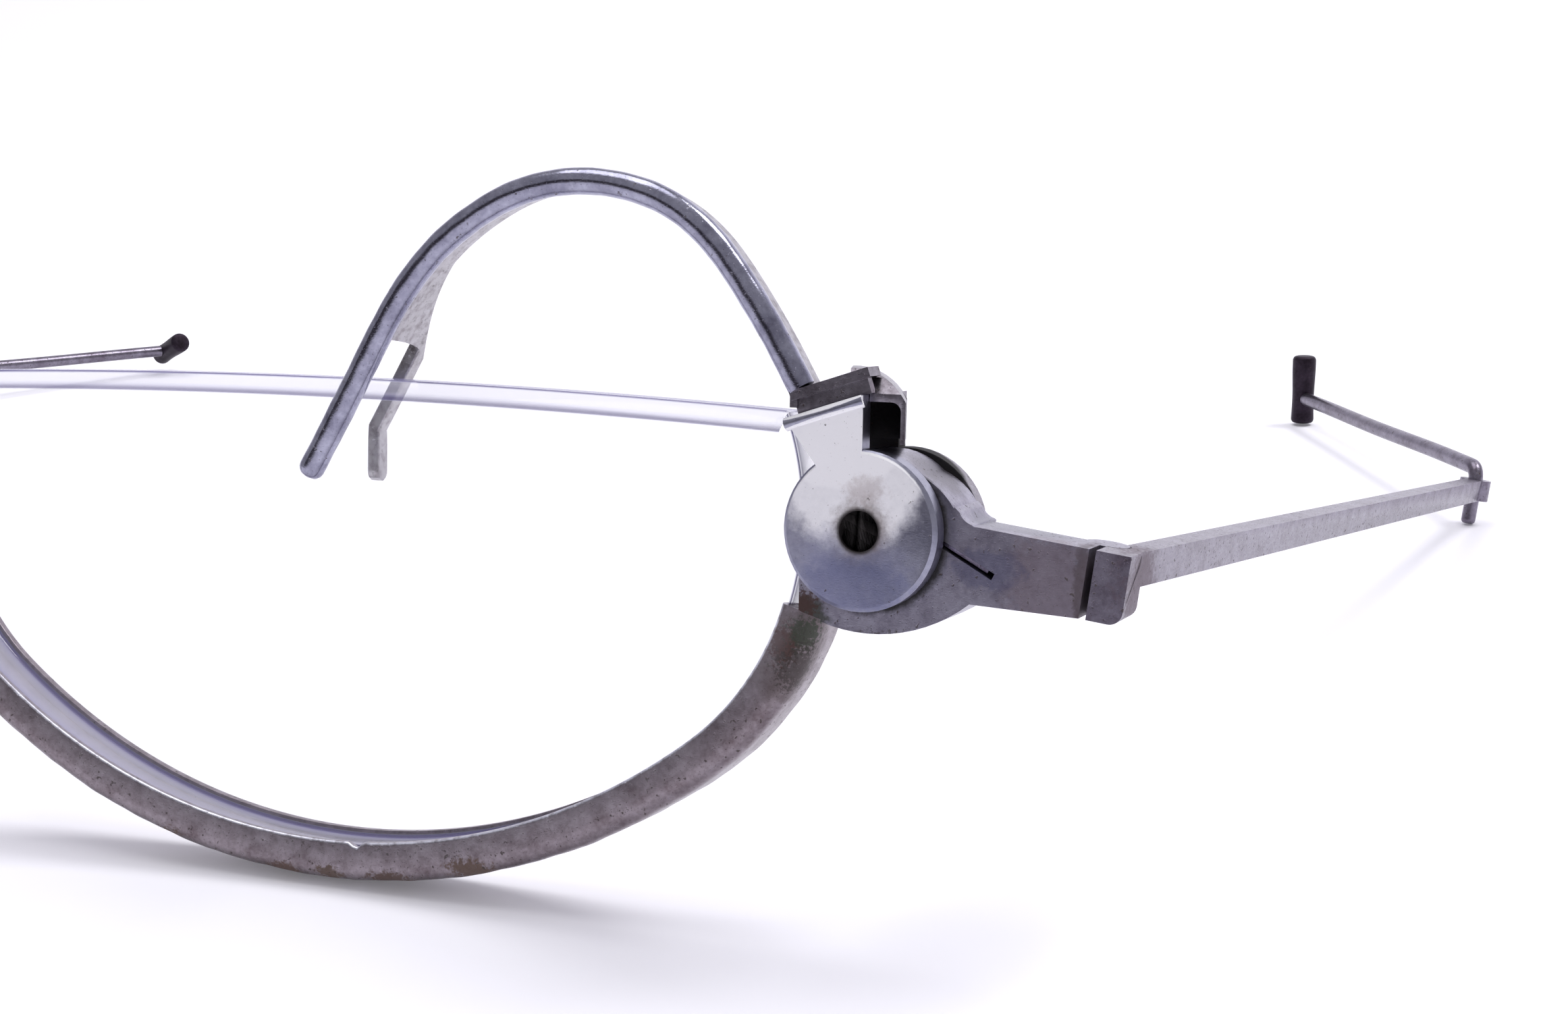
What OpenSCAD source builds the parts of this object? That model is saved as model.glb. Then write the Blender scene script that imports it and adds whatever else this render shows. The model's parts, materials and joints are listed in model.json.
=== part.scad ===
// Half-eye spectacles with folding turn-pin sides and a sprung arch over each lens.
// Each piece is drawn in the upright front: X runs across the face, Y to the back and Z up, with the
// drum axis of the +X side at the origin. on_side() then mirrors it for the -X side and leans the whole
// pair back, the way it stands on a table on its two rims and its two turn pins.

/* [Front] */
// Distance between the two drum axes
drum_spacing = 107; // [104:0.5:112]
// Distance from a drum axis to the middle of its lens
lens_to_drum = 24; // [23.8:0.1:24.8]

/* [Lens] */
// Half of the width of a lens
lens_half_w = 21.3; // [20.4:0.1:22]
// Depth of a lens below the drum axis
lens_drop = 14.8; // [13.5:0.1:16]
// Height of the free top edge above the drum axis
lens_rise = 4.65; // [3.8:0.05:4.9]
// Radius of the two ends of a lens
lens_end_r = 11.4; // [10:0.1:12]
// Radius of the slightly arched top edge
lens_top_r = 420; // [250:10:600]
// Thickness of a lens
lens_t = 2; // [1.6:0.1:2.2]
// Height of the polished bevel along the top edge
lens_bevel = 0.65; // [0.3:0.05:0.9]

/* [Rim] */
// Depth of the half rim from front to back
rim_depth = 2.8; // [2.6:0.1:3]
// Metal outside the lens edge
rim_wall = 1.4; // [1:0.05:1.4]
// Depth of the groove that holds the lens
groove_depth = 0.3; // [0.2:0.05:0.4]
// Rounding of the outer edges of the rim
rim_round = 0.5; // [0.3:0.05:0.7]
// Angle below the drum axis at which the rim ends against the hub
rim_end_drum = 16; // [14:1:18]
// Angle above the drum axis at which the rim ends beside the nose
rim_end_nose = 14; // [10:1:18]

/* [Nose bridge] */
// Diameter of the bridge wire
bridge_d = 1.8; // [1.4:0.1:2]
// Height of the top of the bridge above the drum axis
bridge_top = 7.2; // [6:0.1:9]

/* [Hub and endpiece] */
// Thickness of the hub and the endpiece
hub_t = 2.9; // [2.7:0.1:3]
// Radius of the upper part of the hub
hub_r = 2.86; // [2.75:0.01:2.9]
// Radius of the shoulder that carries the hub over into the endpiece
shoulder_r = 2.95; // [2.85:0.01:3]
// Radius of the flatter lower edge of the hub
hub_low_r = 6.1; // [5.8:0.1:6.4]
// Lowest point of the hub below the drum axis
hub_low = 3.92; // [3.8:0.02:4.1]
// Radius of the spring barrel inside the hub
barrel_r = 2.25; // [2.1:0.05:2.35]
// Wall left at the back of the barrel
barrel_floor = 0.7; // [0.5:0.05:0.9]
// Height of the endpiece at the hinge
end_h = 2.55; // [2.2:0.05:2.7]
// Width of the saw cut that holds the tail of the spring
slit_w = 0.26; // [0.2:0.02:0.34]

/* [Cheeks and pivot] */
// Radius of the front cheek
cheek_r = 3; // [2.9:0.05:3.1]
// Radius of the back cheek
back_cheek_r = 3.12; // [3:0.02:3.2]
// Thickness of the front cheek
front_cheek_t = 0.9; // [0.8:0.05:1]
// Thickness of the back cheek
back_cheek_t = 0.8; // [0.6:0.05:0.9]
// Gap between the hub and each cheek
cheek_gap = 0.2; // [0.15:0.01:0.25]
// Bevel around the face of the front cheek
cheek_bevel = 0.16; // [0.08:0.02:0.24]
// Radius of the screw head
screw_head_r = 0.62; // [0.55:0.01:0.68]
// Radius of the screw shank
screw_r = 0.44; // [0.36:0.01:0.46]
// Radius of the spring arbor
arbor_r = 0.9; // [0.8:0.02:0.96]
// Width of the front cheek's tab at its lip
tab_w = 3.2; // [3:0.05:3.3]

/* [Drum spring] */
// Turns of the clock spring
spring_turns = 3; // [2:1:4]
// Thickness of the spring strip
spring_t = 0.12; // [0.08:0.01:0.16]
// Width of the spring strip
spring_w = 1.5; // [1.2:0.1:1.6]

/* [Arch] */
// Height of the middle of the arch wire at the crown, above the drum axis
arch_top = 12.6; // [11.6:0.1:13.6]
// Distance of the crown from the drum axis
arch_out = 12.05; // [12:0.05:12.6]
// Radius of the crown
crown_r = 8.8; // [8.4:0.1:9]
// Lean of the two legs from the vertical
leg_lean = 31.5; // [30:0.5:33]
// Lean of the leg over the lens from upright, in degrees
far_lean = 29.5; // [28:0.5:33]
// Radius of the arch wire
wire_r = 0.52; // [0.46:0.01:0.56]
// Thickness of the strip behind the wire
strip_t = 0.56; // [0.4:0.02:0.7]
// Depth of the strip at the foot
strip_foot = 0.9; // [0.7:0.1:1.7]
// Depth of the strip at the fork
strip_fork = 3.4; // [3.2:0.1:3.6]
// Height at which the fork divides
fork_z = 6.4; // [6.2:0.1:6.8]
// Height of the front prong's end above the drum axis
front_prong_z = 1.0; // [0.8:0.1:2]
// Height of the rear prong's end above the drum axis
rear_prong_z = 0.3; // [0:0.1:1]

/* [Hinge] */
// Distance of the hinge axis from the drum axis
hinge_out = 8.35; // [8:0.05:8.8]
// Distance of the hinge axis behind the middle of the hub
hinge_back = 0.85; // [0.8:0.05:1.6]
// Slope of the endpiece, which the hinge axis stands square to
droop = 7; // [5:0.5:8]
// Radius of the knuckles
knuckle_r = 0.8; // [0.76:0.02:0.86]
// Radius of the hinge pin
hinge_pin_r = 0.3; // [0.25:0.01:0.34]
// Width of the butt block beyond the gap
butt_w = 1.3; // [1.2:0.05:1.5]
// Gap between the endpiece and the butt block
butt_gap = 0.26; // [0.2:0.02:0.3]

/* [Sides] */
// Length of the side bar from the butt block to the turn pin
bar_l = 71.1; // [62:0.5:76]
// Height of the side bar
bar_h = 1.3; // [1.1:0.05:1.4]
// Thickness of the side bar
bar_w = 1; // [0.9:0.05:1.05]
// Outward spread of the side bar
splay = 4.7; // [3:0.1:6]
// Fall of the side bar to the back
bar_fall = 1.2; // [0.6:0.1:2.4]
// Radius of the eye at the end of the bar
eye_r = 0.95; // [0.85:0.05:1.1]
// Radius of the turn pin
turn_pin_r = 0.44; // [0.38:0.02:0.48]
// Length of the turn pin below the middle of the bar
turn_pin_low = 2.2; // [1.8:0.05:2.6]
// Radius of the rear arm's wire
arm_r = 0.5; // [0.44:0.02:0.56]
// Length of the rear arm
arm_l = 32; // [26:0.2:34]
// Turn of the rear arm in from the line of the bar
arm_turn = 34.6; // [30:0.5:38]
// Rise of the rear arm from the plane of the bar
arm_rise = 2.4; // [1:0.2:8]

/* [Tips] */
// Length of the crosswise tip
tip_l = 5.2; // [4.6:0.1:5.4]
// Radius of the crosswise tip
tip_r = 0.85; // [0.7:0.05:0.95]
// Length of the tip below the arm
tip_low = 1.9; // [1.6:0.1:2]
// Turn of the +X tip about its arm
right_tip_turn = -9; // [-15:1:0]
// Turn of the -X tip about its arm
left_tip_turn = -80; // [-90:1:-60]

/* [Hidden] */
$fn = 96;

// Clearances: a running fit, and a slip fit of the lens in its groove
fit = 0.03;
lens_fit = 0.03;
eps = 0.01;

// Lens outline: two end arcs joined by a large lower arc that is tangent to both
end_c = lens_half_w - lens_end_r;
low_r = (end_c * end_c + lens_drop * lens_drop - lens_end_r * lens_end_r) / (2 * (lens_drop - lens_end_r));
low_c = low_r - lens_drop;
low_angle = atan2(low_c, end_c);
joint_gap = 0.4;
low_gap = joint_gap * lens_end_r / low_r;
sleeve_t = 0.02;

// Planes from front to back
hub_front = -hub_t / 2;
hub_back = hub_t / 2;
cheek_back = hub_front - cheek_gap;
cheek_front = cheek_back - front_cheek_t;
back_cheek_front = hub_back + cheek_gap;
back_cheek_back = back_cheek_front + back_cheek_t;

// Endpiece and hinge
hinge_z = -1.48;
knuckle_h = 0.86;
end_face = butt_gap / 2;

// Tip: the tenon it turns on, and the flats that the tenon's shoulder and rivet stand off
tenon_r = 0.28;
tip_flat = tip_r - 0.06;

// Saw cut and spring tail, as the line from the barrel to the outer end of the cut
slit_end = [4.84, -1.46];
slit_angle = -28.6;
slit_l = 3.2;
slit_depth = hub_t - barrel_floor;

// Arch: the legs leave the crown where its tangent has their lean
crown_c = [-arch_out, arch_top - crown_r];
strip_front = -lens_t / 2 - 0.46;
wire_y = strip_front - wire_r;
ledge_slope = 18.5;
ledge_front = -2.34;
foot_z = ledge_z(leg_x(1, 5));
fork_gap = 0.2;

// Rear prong: it leaves the leg's line and hangs upright
prong_bend_z = 2.7;
prong_x = leg_x(-1, prong_bend_z);

// Turn pin's bend, and where the straight of the arm starts
bend_r = 0.9;
tip_rise = bar_h / 2 + arm_r + 0.25;
arm_start = [0, bend_r * (1 - sin(arm_rise)), tip_rise - bend_r + bend_r * cos(arm_rise)];
bar_start = [butt_gap / 2 + butt_w - bar_w / 2, -0.6, end_h / 2 - bar_h / 2];

// Stance: the lean at which the rims and the turn pins touch one plane
pin_foot = to_front([0, bar_l, -turn_pin_low]);
pin_edge = turn_pin_r * 0.21;
rim_low = rim_round - lens_drop - rim_wall;
stance = [pin_foot[2] - rim_low, rim_depth / 2 - rim_round - pin_foot[1]];
lean = atan2(stance[1], stance[0]) + acos((pin_edge - rim_round) / norm(stance));
lift = -rim_low * cos(lean) + (rim_depth / 2 - rim_round) * sin(lean) + rim_round;

// Middle between the front of the rims and the back of the tips
tip_mid = to_front([0, bar_l, 0] + spin_z(arm_start + spin_x([0, arm_l - bend_r, 0], arm_rise), arm_turn));
rims_y = (rim_round - rim_depth / 2) * cos(lean) + rim_low * sin(lean) - rim_round;
tips_y = tip_mid[1] * cos(lean) + tip_mid[2] * sin(lean) + 1.9;
depth_shift = -(rims_y + tips_y) / 2;

// Place of a point of the side bar's frame in the front's frame
function spin_z(p, a) = [p[0] * cos(a) - p[1] * sin(a), p[0] * sin(a) + p[1] * cos(a), p[2]];
function spin_x(p, a) = [p[0], p[1] * cos(a) - p[2] * sin(a), p[1] * sin(a) + p[2] * cos(a)];
function spin_y(p, a) = [p[0] * cos(a) + p[2] * sin(a), p[1], -p[0] * sin(a) + p[2] * cos(a)];
function to_front(p) = [hinge_out, hinge_back, hinge_z] + spin_y(bar_start + spin_z(spin_x(p, -bar_fall), -splay), droop);

// Place across the front of a leg's middle line at height z, on the drum's side (1) or the nose's (-1)
function lean_of(s) = s > 0 ? leg_lean : far_lean;
function leg_top_x(s) = crown_r * cos(lean_of(s));
function leg_top_z(s) = crown_c[1] + crown_r * sin(lean_of(s));
function leg_x(s, z) = -arch_out + s * (leg_top_x(s) + (leg_top_z(s) - z) * tan(lean_of(s)));

// Height of the top of the ledge at x
function ledge_z(x) = 5.0 + (x + 2.94) * tan(ledge_slope);

// Leans the upright front back until it stands on its rims and turn pins
module to_table() {
    translate([0, depth_shift, lift]) rotate([-lean, 0, 0]) children();
}

// Sets a piece on the +X side (1) or mirrors it to the -X side (-1)
module on_side(s) {
    to_table()
        if (s > 0) {
            translate([drum_spacing / 2, 0, 0]) children();
        } else {
            mirror([1, 0, 0]) translate([drum_spacing / 2, 0, 0]) children();
        }
}

// Raises a front-view outline into a plate from y0 back to y1
module plate(y0, y1) {
    translate([0, y1, 0]) rotate([90, 0, 0]) linear_extrude(y1 - y0) children();
}

// Stands a shape that was drawn about Z on the front-to-back axis
module along_y(y0) {
    translate([0, y0, 0]) rotate([-90, 0, 0]) children();
}

// Frame of the hinge, with Z along its axis
module hinge_frame() {
    translate([hinge_out, hinge_back, hinge_z]) rotate([0, droop, 0]) children();
}

// Frame of the side bar, with Y along the bar
module bar_frame() {
    hinge_frame() translate(bar_start) rotate([0, 0, -splay]) rotate([-bar_fall, 0, 0]) children();
}

// Frame of the turn pin, with Z along the pin and Y under the arm
module arm_frame() {
    bar_frame() translate([0, bar_l, 0]) rotate([0, 0, arm_turn]) children();
}

// Frame of the arm's straight, with Z along the wire from the end of its bend
module wire_frame() {
    arm_frame() translate(arm_start) rotate([arm_rise - 90, 0, 0]) children();
}

// Frame of the tip, with Z up the tip and its origin on the arm's line
module tip_frame(turn) {
    wire_frame() translate([0, 0, arm_l - bend_r]) rotate([90, 0, 0]) rotate([0, turn, 0]) children();
}

// Outline of a lens before its top is cut, grown outward by a margin
module oval(grow) {
    tangent_x = (low_r + grow) * cos(low_angle);
    translate([-lens_to_drum, 0]) {
        intersection() {
            translate([0, low_c]) circle(low_r + grow);
            translate([0, -low_c]) circle(low_r + grow);
            square([2 * tangent_x, 4 * lens_drop], center = true);
        }
        for (s = [-1, 1]) translate([s * end_c, 0]) circle(lens_end_r + grow);
    }
}

// Lens: a half-eye oval, flat ground at the top, with a polished bevel along its front top edge
module lens() {
    color([0.86, 0.88, 0.95, 0.35])
    difference() {
        plate(-lens_t / 2, lens_t / 2) intersection() {
            oval(0);
            translate([-lens_to_drum, lens_rise - lens_top_r]) circle(lens_top_r, $fn = 400);
        }
        translate([-lens_to_drum, -lens_t / 2, lens_rise - lens_bevel])
            rotate([-38, 0, 0]) translate([-30, -4, -0.2]) cube([60, 4, 4]);
    }
}

// Section of the rim: flat inside with the lens groove, rounded outside
module rim_section(r) {
    half = rim_depth / 2;
    difference() {
        translate([r, 0]) union() {
            translate([-groove_depth, -half]) square([rim_wall + groove_depth - rim_round, rim_depth]);
            translate([0, rim_round - half]) square([rim_wall, rim_depth - 2 * rim_round]);
            for (s = [-1, 1]) translate([rim_wall - rim_round, s * (half - rim_round)])
                circle(rim_round, $fn = 48);
        }
        translate([r - 1, -lens_t / 2 - lens_fit]) square([1 + lens_fit, lens_t + 2 * lens_fit]);
    }
}

// One arc of the rim, about a centre in the front view
module rim_arc(centre, r, from, to) {
    translate([centre[0], 0, centre[1]]) rotate([90, 0, 0]) rotate([0, 0, from])
        rotate_extrude(angle = to - from, $fn = 240) rim_section(r);
}

// Section of a joint sleeve: the rim's section a hair fuller all round
module sleeve_section() {
    half = rim_depth / 2 + sleeve_t;
    difference() {
        translate([lens_end_r, 0]) union() {
            translate([-groove_depth - sleeve_t, -half])
                square([rim_wall + groove_depth + 2 * sleeve_t - rim_round, 2 * half]);
            translate([0, rim_round - half]) square([rim_wall + sleeve_t, 2 * half - 2 * rim_round]);
            for (s = [-1, 1]) translate([rim_wall + sleeve_t - rim_round, s * (half - rim_round)])
                circle(rim_round, $fn = 48);
        }
        translate([lens_end_r - 1, sleeve_t / 2 - lens_t / 2 - lens_fit])
            square([1 + lens_fit - sleeve_t / 2, lens_t + 2 * lens_fit - sleeve_t]);
    }
}

// Half rim: three arcs that follow the lens from the hub round below to the nose, each pair closed
// by a soldered sleeve
module rim() {
    color([0.62, 0.60, 0.60])
    union() {
        rim_arc([end_c - lens_to_drum, 0], lens_end_r, joint_gap - low_angle, -rim_end_drum);
        rim_arc([-lens_to_drum, low_c], low_r, low_angle - 180 + low_gap, -low_angle - low_gap);
        rim_arc([-end_c - lens_to_drum, 0], lens_end_r, 180 - rim_end_nose, 180 + low_angle - joint_gap);
        for (s = [-1, 1]) translate([s * end_c - lens_to_drum, 0, 0])
            rotate([0, s > 0 ? low_angle : 180 - low_angle, 0])
            translate([0, 0, -0.3]) linear_extrude(0.6) sleeve_section();
    }
}

// Space of the rim's end in the front view, which the hub is cut back for
module rim_seat() {
    translate([end_c - lens_to_drum, 0]) intersection() {
        circle(lens_end_r + rim_wall, $fn = 240);
        rotate(-rim_end_drum) translate([0, -40]) square([40, 40]);
    }
}

// Front view of the hub, with its shoulder and flatter lower edge, and the endpiece that leaves it
module hub_outline() {
    circle(hub_r);
    translate([0.78, -0.62]) circle(shoulder_r);
    intersection() {
        translate([0.1, hub_low_r - hub_low]) circle(hub_low_r, $fn = 180);
        translate([-2.7, -hub_low - 1]) square([6.7, hub_low + 0.6]);
    }
    translate([hinge_out, hinge_z]) rotate(-droop) polygon([
        [-6.4, end_h / 2], [-end_face, end_h / 2], [-end_face, -end_h / 2], [-4.2, -end_h / 2 - 0.3], [-6, -0.6]
    ]);
    difference() {
        polygon([[3, 0.1], [4.3, 0.1], [3.3, 1]]);
        translate([4.16, 0.36 + 0.7]) circle(0.7);
    }
}

// Hub and endpiece: the barrel of the spring, its saw cut, and the outer two hinge knuckles
module hub_endpiece() {
    color([0.66, 0.66, 0.70])
    difference() {
        union() {
            difference() {
                plate(hub_front, hub_back) difference() {
                    hub_outline();
                    translate([end_c - lens_to_drum, 0]) circle(lens_end_r + 2 * lens_fit, $fn = 240);
                    rim_seat();
                }
                hinge_frame() translate([-4.5, 0, -4]) cube([6, 4, 8]);
            }
            hinge_frame() for (s = [-1, 1]) translate([0, 0, s * (end_h + knuckle_h) / 4])
                cylinder(h = (end_h - knuckle_h) / 2, r = knuckle_r, center = true);
        }
        along_y(hub_front - eps) cylinder(h = slit_depth + eps, r = barrel_r);
        along_y(hub_front) cylinder(h = hub_t + 1, r = arbor_r + fit);
        translate([slit_end[0], hub_front + slit_depth / 2, slit_end[1]]) rotate([0, -slit_angle, 0])
            translate([-slit_l / 2, 0, 0]) cube([slit_l, slit_depth + eps, slit_w], center = true);
        hinge_frame() {
            cylinder(h = knuckle_h + 2 * fit, r = knuckle_r + 2 * fit, center = true);
            cylinder(h = end_h + 1, r = hinge_pin_r, center = true);
        }
    }
}

// Front cheek: bevelled disc with the tab, its lip and the sunk hole for the screw
module front_cheek() {
    color([0.83, 0.84, 0.88])
    difference() {
        union() {
            along_y(cheek_front + cheek_bevel) cylinder(h = front_cheek_t - cheek_bevel, r = cheek_r);
            along_y(cheek_front) cylinder(h = cheek_bevel + eps, r1 = cheek_r - cheek_bevel, r2 = cheek_r);
            plate(cheek_front, cheek_back) tab_outline();
            lip();
        }
        along_y(cheek_front - 1) cylinder(h = 1.55, r = screw_head_r + 0.14);
        along_y(cheek_front) cylinder(h = 2, r = screw_r + fit / 2);
    }
}

// Front view of the dovetail tab that rises from the front cheek
module tab_outline() {
    right = [0.02, 4.98];
    polygon([
        [-1.2, 1], [-1.72, 2.3], right - tab_w * [cos(ledge_slope), sin(ledge_slope)], right, [0.02, 1]
    ]);
}

// Rolled lip along the top of the tab
module lip() {
    lip_r = 0.25;
    translate([0.02, cheek_front + 0.14, 4.98 - 0.2]) rotate([0, -90 - ledge_slope, 0])
        cylinder(h = tab_w, r = lip_r, $fn = 32);
}

// Back cheek: a plain, slightly eccentric disc with the same tab as the front cheek
module back_cheek() {
    color([0.30, 0.27, 0.27])
    difference() {
        plate(back_cheek_front, back_cheek_back) {
            translate([0.3, -0.26]) circle(back_cheek_r);
            tab_outline();
        }
        along_y(back_cheek_front - 1) cylinder(h = 3, r = screw_r + fit / 2);
        along_y(back_cheek_back - 0.3) cylinder(h = 1, r = screw_r + 0.22 + fit / 2);
    }
}

// Pivot screw: slotted head sunk in the front cheek, and an end riveted flush in the back cheek
module pivot_screw() {
    color([0.20, 0.17, 0.22])
    difference() {
        union() {
            along_y(cheek_front + 0.2) cylinder(h = 0.35, r = screw_head_r);
            along_y(cheek_front + 0.3) cylinder(h = back_cheek_back - 0.1 - cheek_front - 0.3, r = screw_r);
            along_y(back_cheek_back - 0.3) cylinder(h = 0.25, r = screw_r + 0.22);
        }
        translate([0, cheek_front + 0.25, 0]) rotate([0, 25, 0])
            cube([0.2, 0.3, 3], center = true);
    }
}

// Spring arbor: a sleeve on the screw, clamped between the cheeks
module spring_arbor() {
    color([0.55, 0.53, 0.52])
    along_y(cheek_back) difference() {
        cylinder(h = back_cheek_front - cheek_back, r = arbor_r);
        translate([0, 0, -1]) cylinder(h = hub_t + 3, r = screw_r + fit / 2);
    }
}

// Points along one edge of the clock spring
function coil_edge(shift) = [
    for (i = [0 : 24 * spring_turns])
        let (a = i * 15 + 4, r = arbor_r + 0.14 + (barrel_r - arbor_r - 0.32) * i / (24 * spring_turns) + shift)
        [r * cos(a), r * sin(a)]
];

// Clock spring in the barrel, with its tail wedged in the saw cut
module drum_spring() {
    spring_front = hub_front + 0.25;
    tail_l = 2.86;
    inner = coil_edge(-spring_t / 2);
    outer = coil_edge(spring_t / 2);
    color([0.35, 0.36, 0.42])
    plate(spring_front, spring_front + spring_w) {
        polygon(concat(outer, [for (i = [len(inner) - 1 : -1 : 0]) inner[i]]));
        translate(slit_end) rotate(slit_angle) translate([-tail_l - 0.3, -spring_t / 2])
            square([tail_l, spring_t]);
    }
}

// Arch wire: crown, a leg to the foot and a long leg that ends as the front prong
module arch_wire() {
    color([0.72, 0.73, 0.78])
    difference() {
        union() {
            translate([crown_c[0], wire_y, crown_c[1]]) rotate([90, 0, 0]) rotate([0, 0, leg_lean])
                rotate_extrude(angle = 180 - leg_lean - far_lean) translate([crown_r, 0]) circle(wire_r, $fn = 48);
            wire_leg(1, foot_z - 0.6, 0);
            wire_leg(-1, front_prong_z, 0.3);
        }
        below_ledge();
    }
}

// One straight leg of the wire, set a little into the crown, down to height z, with a blunted end
module wire_leg(s, z, blunt) {
    leg = (leg_top_z(s) - z) / cos(lean_of(s)) - blunt;
    translate([-arch_out + s * leg_top_x(s), wire_y, leg_top_z(s)]) rotate([0, 180 - s * lean_of(s), 0]) {
        translate([0, 0, -0.3]) cylinder(h = leg + 0.3, r = wire_r - 0.01);
        if (blunt > 0) translate([0, 0, leg]) cylinder(h = blunt, r1 = wire_r - 0.01, r2 = wire_r - 0.25);
    }
}

// Space under the top of the ledge, near the foot of the arch
module below_ledge() {
    translate([leg_x(1, 5), -8, ledge_z(leg_x(1, 5))]) rotate([0, -ledge_slope, 0])
        translate([-4, 0, -3]) cube([8, 16, 3]);
}

// Front view of the strip: the band along the arch, without its fork
module strip_band() {
    half = strip_t / 2;
    reach = 20;
    translate(crown_c) intersection() {
        difference() {
            circle(crown_r + half, $fn = 240);
            circle(crown_r - half, $fn = 240);
        }
        polygon([
            [0, 0], [reach * cos(leg_lean), reach * sin(leg_lean)], [reach, 2 * reach], [-reach, 2 * reach],
            [-reach * cos(far_lean), reach * sin(far_lean)]
        ]);
    }
    for (s = [-1, 1]) {
        leg = (leg_top_z(s) - (s > 0 ? foot_z - 0.6 : prong_bend_z)) / cos(lean_of(s));
        translate([-arch_out + s * leg_top_x(s), leg_top_z(s)]) rotate(s * lean_of(s)) {
            translate([-half, -leg]) square([strip_t, leg]);
            translate([-half / 2, -0.3]) square([half, 0.6]);
        }
    }
}

// Arch strip: it deepens from the foot to the fork, and ends as the rear prong behind the lens
module arch_strip() {
    fork_back = strip_front + strip_fork;
    lens_back = lens_t / 2 + fork_gap;
    color([0.50, 0.47, 0.48])
    union() {
        difference() {
            intersection() {
                plate(strip_front, fork_back + 1) strip_band();
                translate([0, 0, -5]) linear_extrude(30) polygon([
                    [1, strip_front - 1], [1, strip_front + strip_foot], [-4, strip_front + strip_foot],
                    [leg_x(-1, 9.6), strip_front + strip_foot + 0.3],
                    [leg_x(-1, fork_z - 0.8), fork_back], [-40, fork_back], [-40, strip_front - 1]
                ]);
            }
            translate([-40, 0, 0]) rotate([90, 0, 90]) linear_extrude(40) polygon([
                [strip_front - 1, -5], [strip_front - 1, fork_z - 0.8], [strip_front + 1.1, fork_z],
                [lens_back, fork_z - 0.3], [lens_back, -5]
            ]);
            below_ledge();
        }
        plate(lens_back, fork_back) {
            translate([prong_x - strip_t / 2, rear_prong_z + strip_t / 2])
                square([strip_t, prong_bend_z + 0.2 - rear_prong_z - strip_t / 2]);
            translate([prong_x, rear_prong_z + strip_t / 2]) circle(strip_t / 2, $fn = 32);
        }
    }
}

// Arch bracket: the ledge under the arch's foot, folded on into a hood between the two tabs
module arch_bracket() {
    hood_front = cheek_front + 0.72;
    hood_turn = 18.3;
    hood_right = 0.8;
    hood_left = -1.3;
    hood_low = 3.2;
    window_top = 4.73;
    color([0.48, 0.46, 0.47])
    union() {
        difference() {
            rotate([0, 0, hood_turn]) plate(-4, 4) intersection() {
                translate([hood_left, hood_low]) square([hood_right - hood_left, 4]);
                translate([-1.15, 3.7]) circle(2.2);
            }
            rotate([0, 0, hood_turn]) plate(-5, 1.2) window_outline(hood_left + 0.3, hood_right - 0.18, window_top);
            translate([-6, -8, 0]) cube([12, 8 + hood_front, 10]);
            translate([-6, back_cheek_front, 0]) cube([12, 8, 10]);
            translate([-6, -8, 0]) cube([6.04, 8 + cheek_back + eps, 5.04]);
            translate([0, hood_front, window_top + 0.3]) rotate([40, 0, 0]) translate([-6, -8, 0])
                cube([12, 12, 4]);
        }
        difference() {
            translate([0.1, ledge_front, ledge_z(0.1)]) rotate([0, -ledge_slope, 0])
                translate([-3.24, 0, -0.36]) cube([3.24, 1.2, 0.36]);
            translate([-0.1, ledge_front - 1, 5.3]) rotate([0, 40, 0]) cube([2, 4, 2]);
        }
        translate([0.1, cheek_back - 0.45, ledge_z(0.1)]) rotate([0, -ledge_slope, 0])
            translate([-3.2, 0, -0.94]) cube([3, 0.45, 0.6]);
        translate([-2.95, ledge_front + 0.1, ledge_z(-2.95) - 0.6]) cube([0.3, cheek_back - ledge_front - 0.12, 0.4]);
    }
}

// Opening under the hood, with rounded upper corners
module window_outline(left, right, top) {
    corner = 0.35;
    translate([left, 0]) square([right - left, top - corner]);
    translate([left + corner, 0]) square([right - left - 2 * corner, top]);
    for (x = [left + corner, right - corner]) translate([x, top - corner]) circle(corner, $fn = 48);
}

// Side bar: butt block, middle knuckle, flat bar and the eye of the turn pin
module temple_bar() {
    block_front = hub_front - hinge_back;
    corner = 0.5;
    color([0.60, 0.59, 0.63])
    difference() {
        union() {
            hinge_frame() {
                difference() {
                    translate([0, -0.1, 0]) rotate([90, 0, 0]) linear_extrude(-0.1 - block_front) union() {
                        translate([end_face, -end_h / 2 + corner]) square([butt_w, end_h - corner]);
                        translate([end_face, -end_h / 2]) square([butt_w - corner, corner + eps]);
                        translate([end_face + butt_w - corner, -end_h / 2 + corner]) circle(corner, $fn = 48);
                    }
                    for (s = [-1, 1]) translate([0, 0, s * (end_h + 1 + knuckle_h) / 4])
                        cylinder(h = (end_h + 1 - knuckle_h) / 2, r = knuckle_r + 2 * fit, center = true);
                }
                cylinder(h = knuckle_h, r = knuckle_r, center = true);
            }
            difference() {
                bar_frame() {
                    translate([-bar_w / 2, 0, -bar_h / 2]) cube([bar_w, bar_l, bar_h]);
                    translate([0, bar_l, 0]) cylinder(h = bar_h, r = eye_r, center = true);
                }
                hinge_frame() translate([0, 0, end_h / 2 + knuckle_h / 2])
                    cylinder(h = end_h, r = knuckle_r + 2 * fit, center = true);
            }
        }
        hinge_frame() cylinder(h = end_h, r = hinge_pin_r + fit, center = true);
        bar_frame() translate([0, bar_l, 0]) cylinder(h = 2 * bar_h, r = turn_pin_r + fit, center = true);
    }
}

// Hinge pin, riveted flush in the outer knuckles
module hinge_pin() {
    color([0.45, 0.44, 0.46])
    hinge_frame() cylinder(h = end_h, r = hinge_pin_r, center = true);
}

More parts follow.
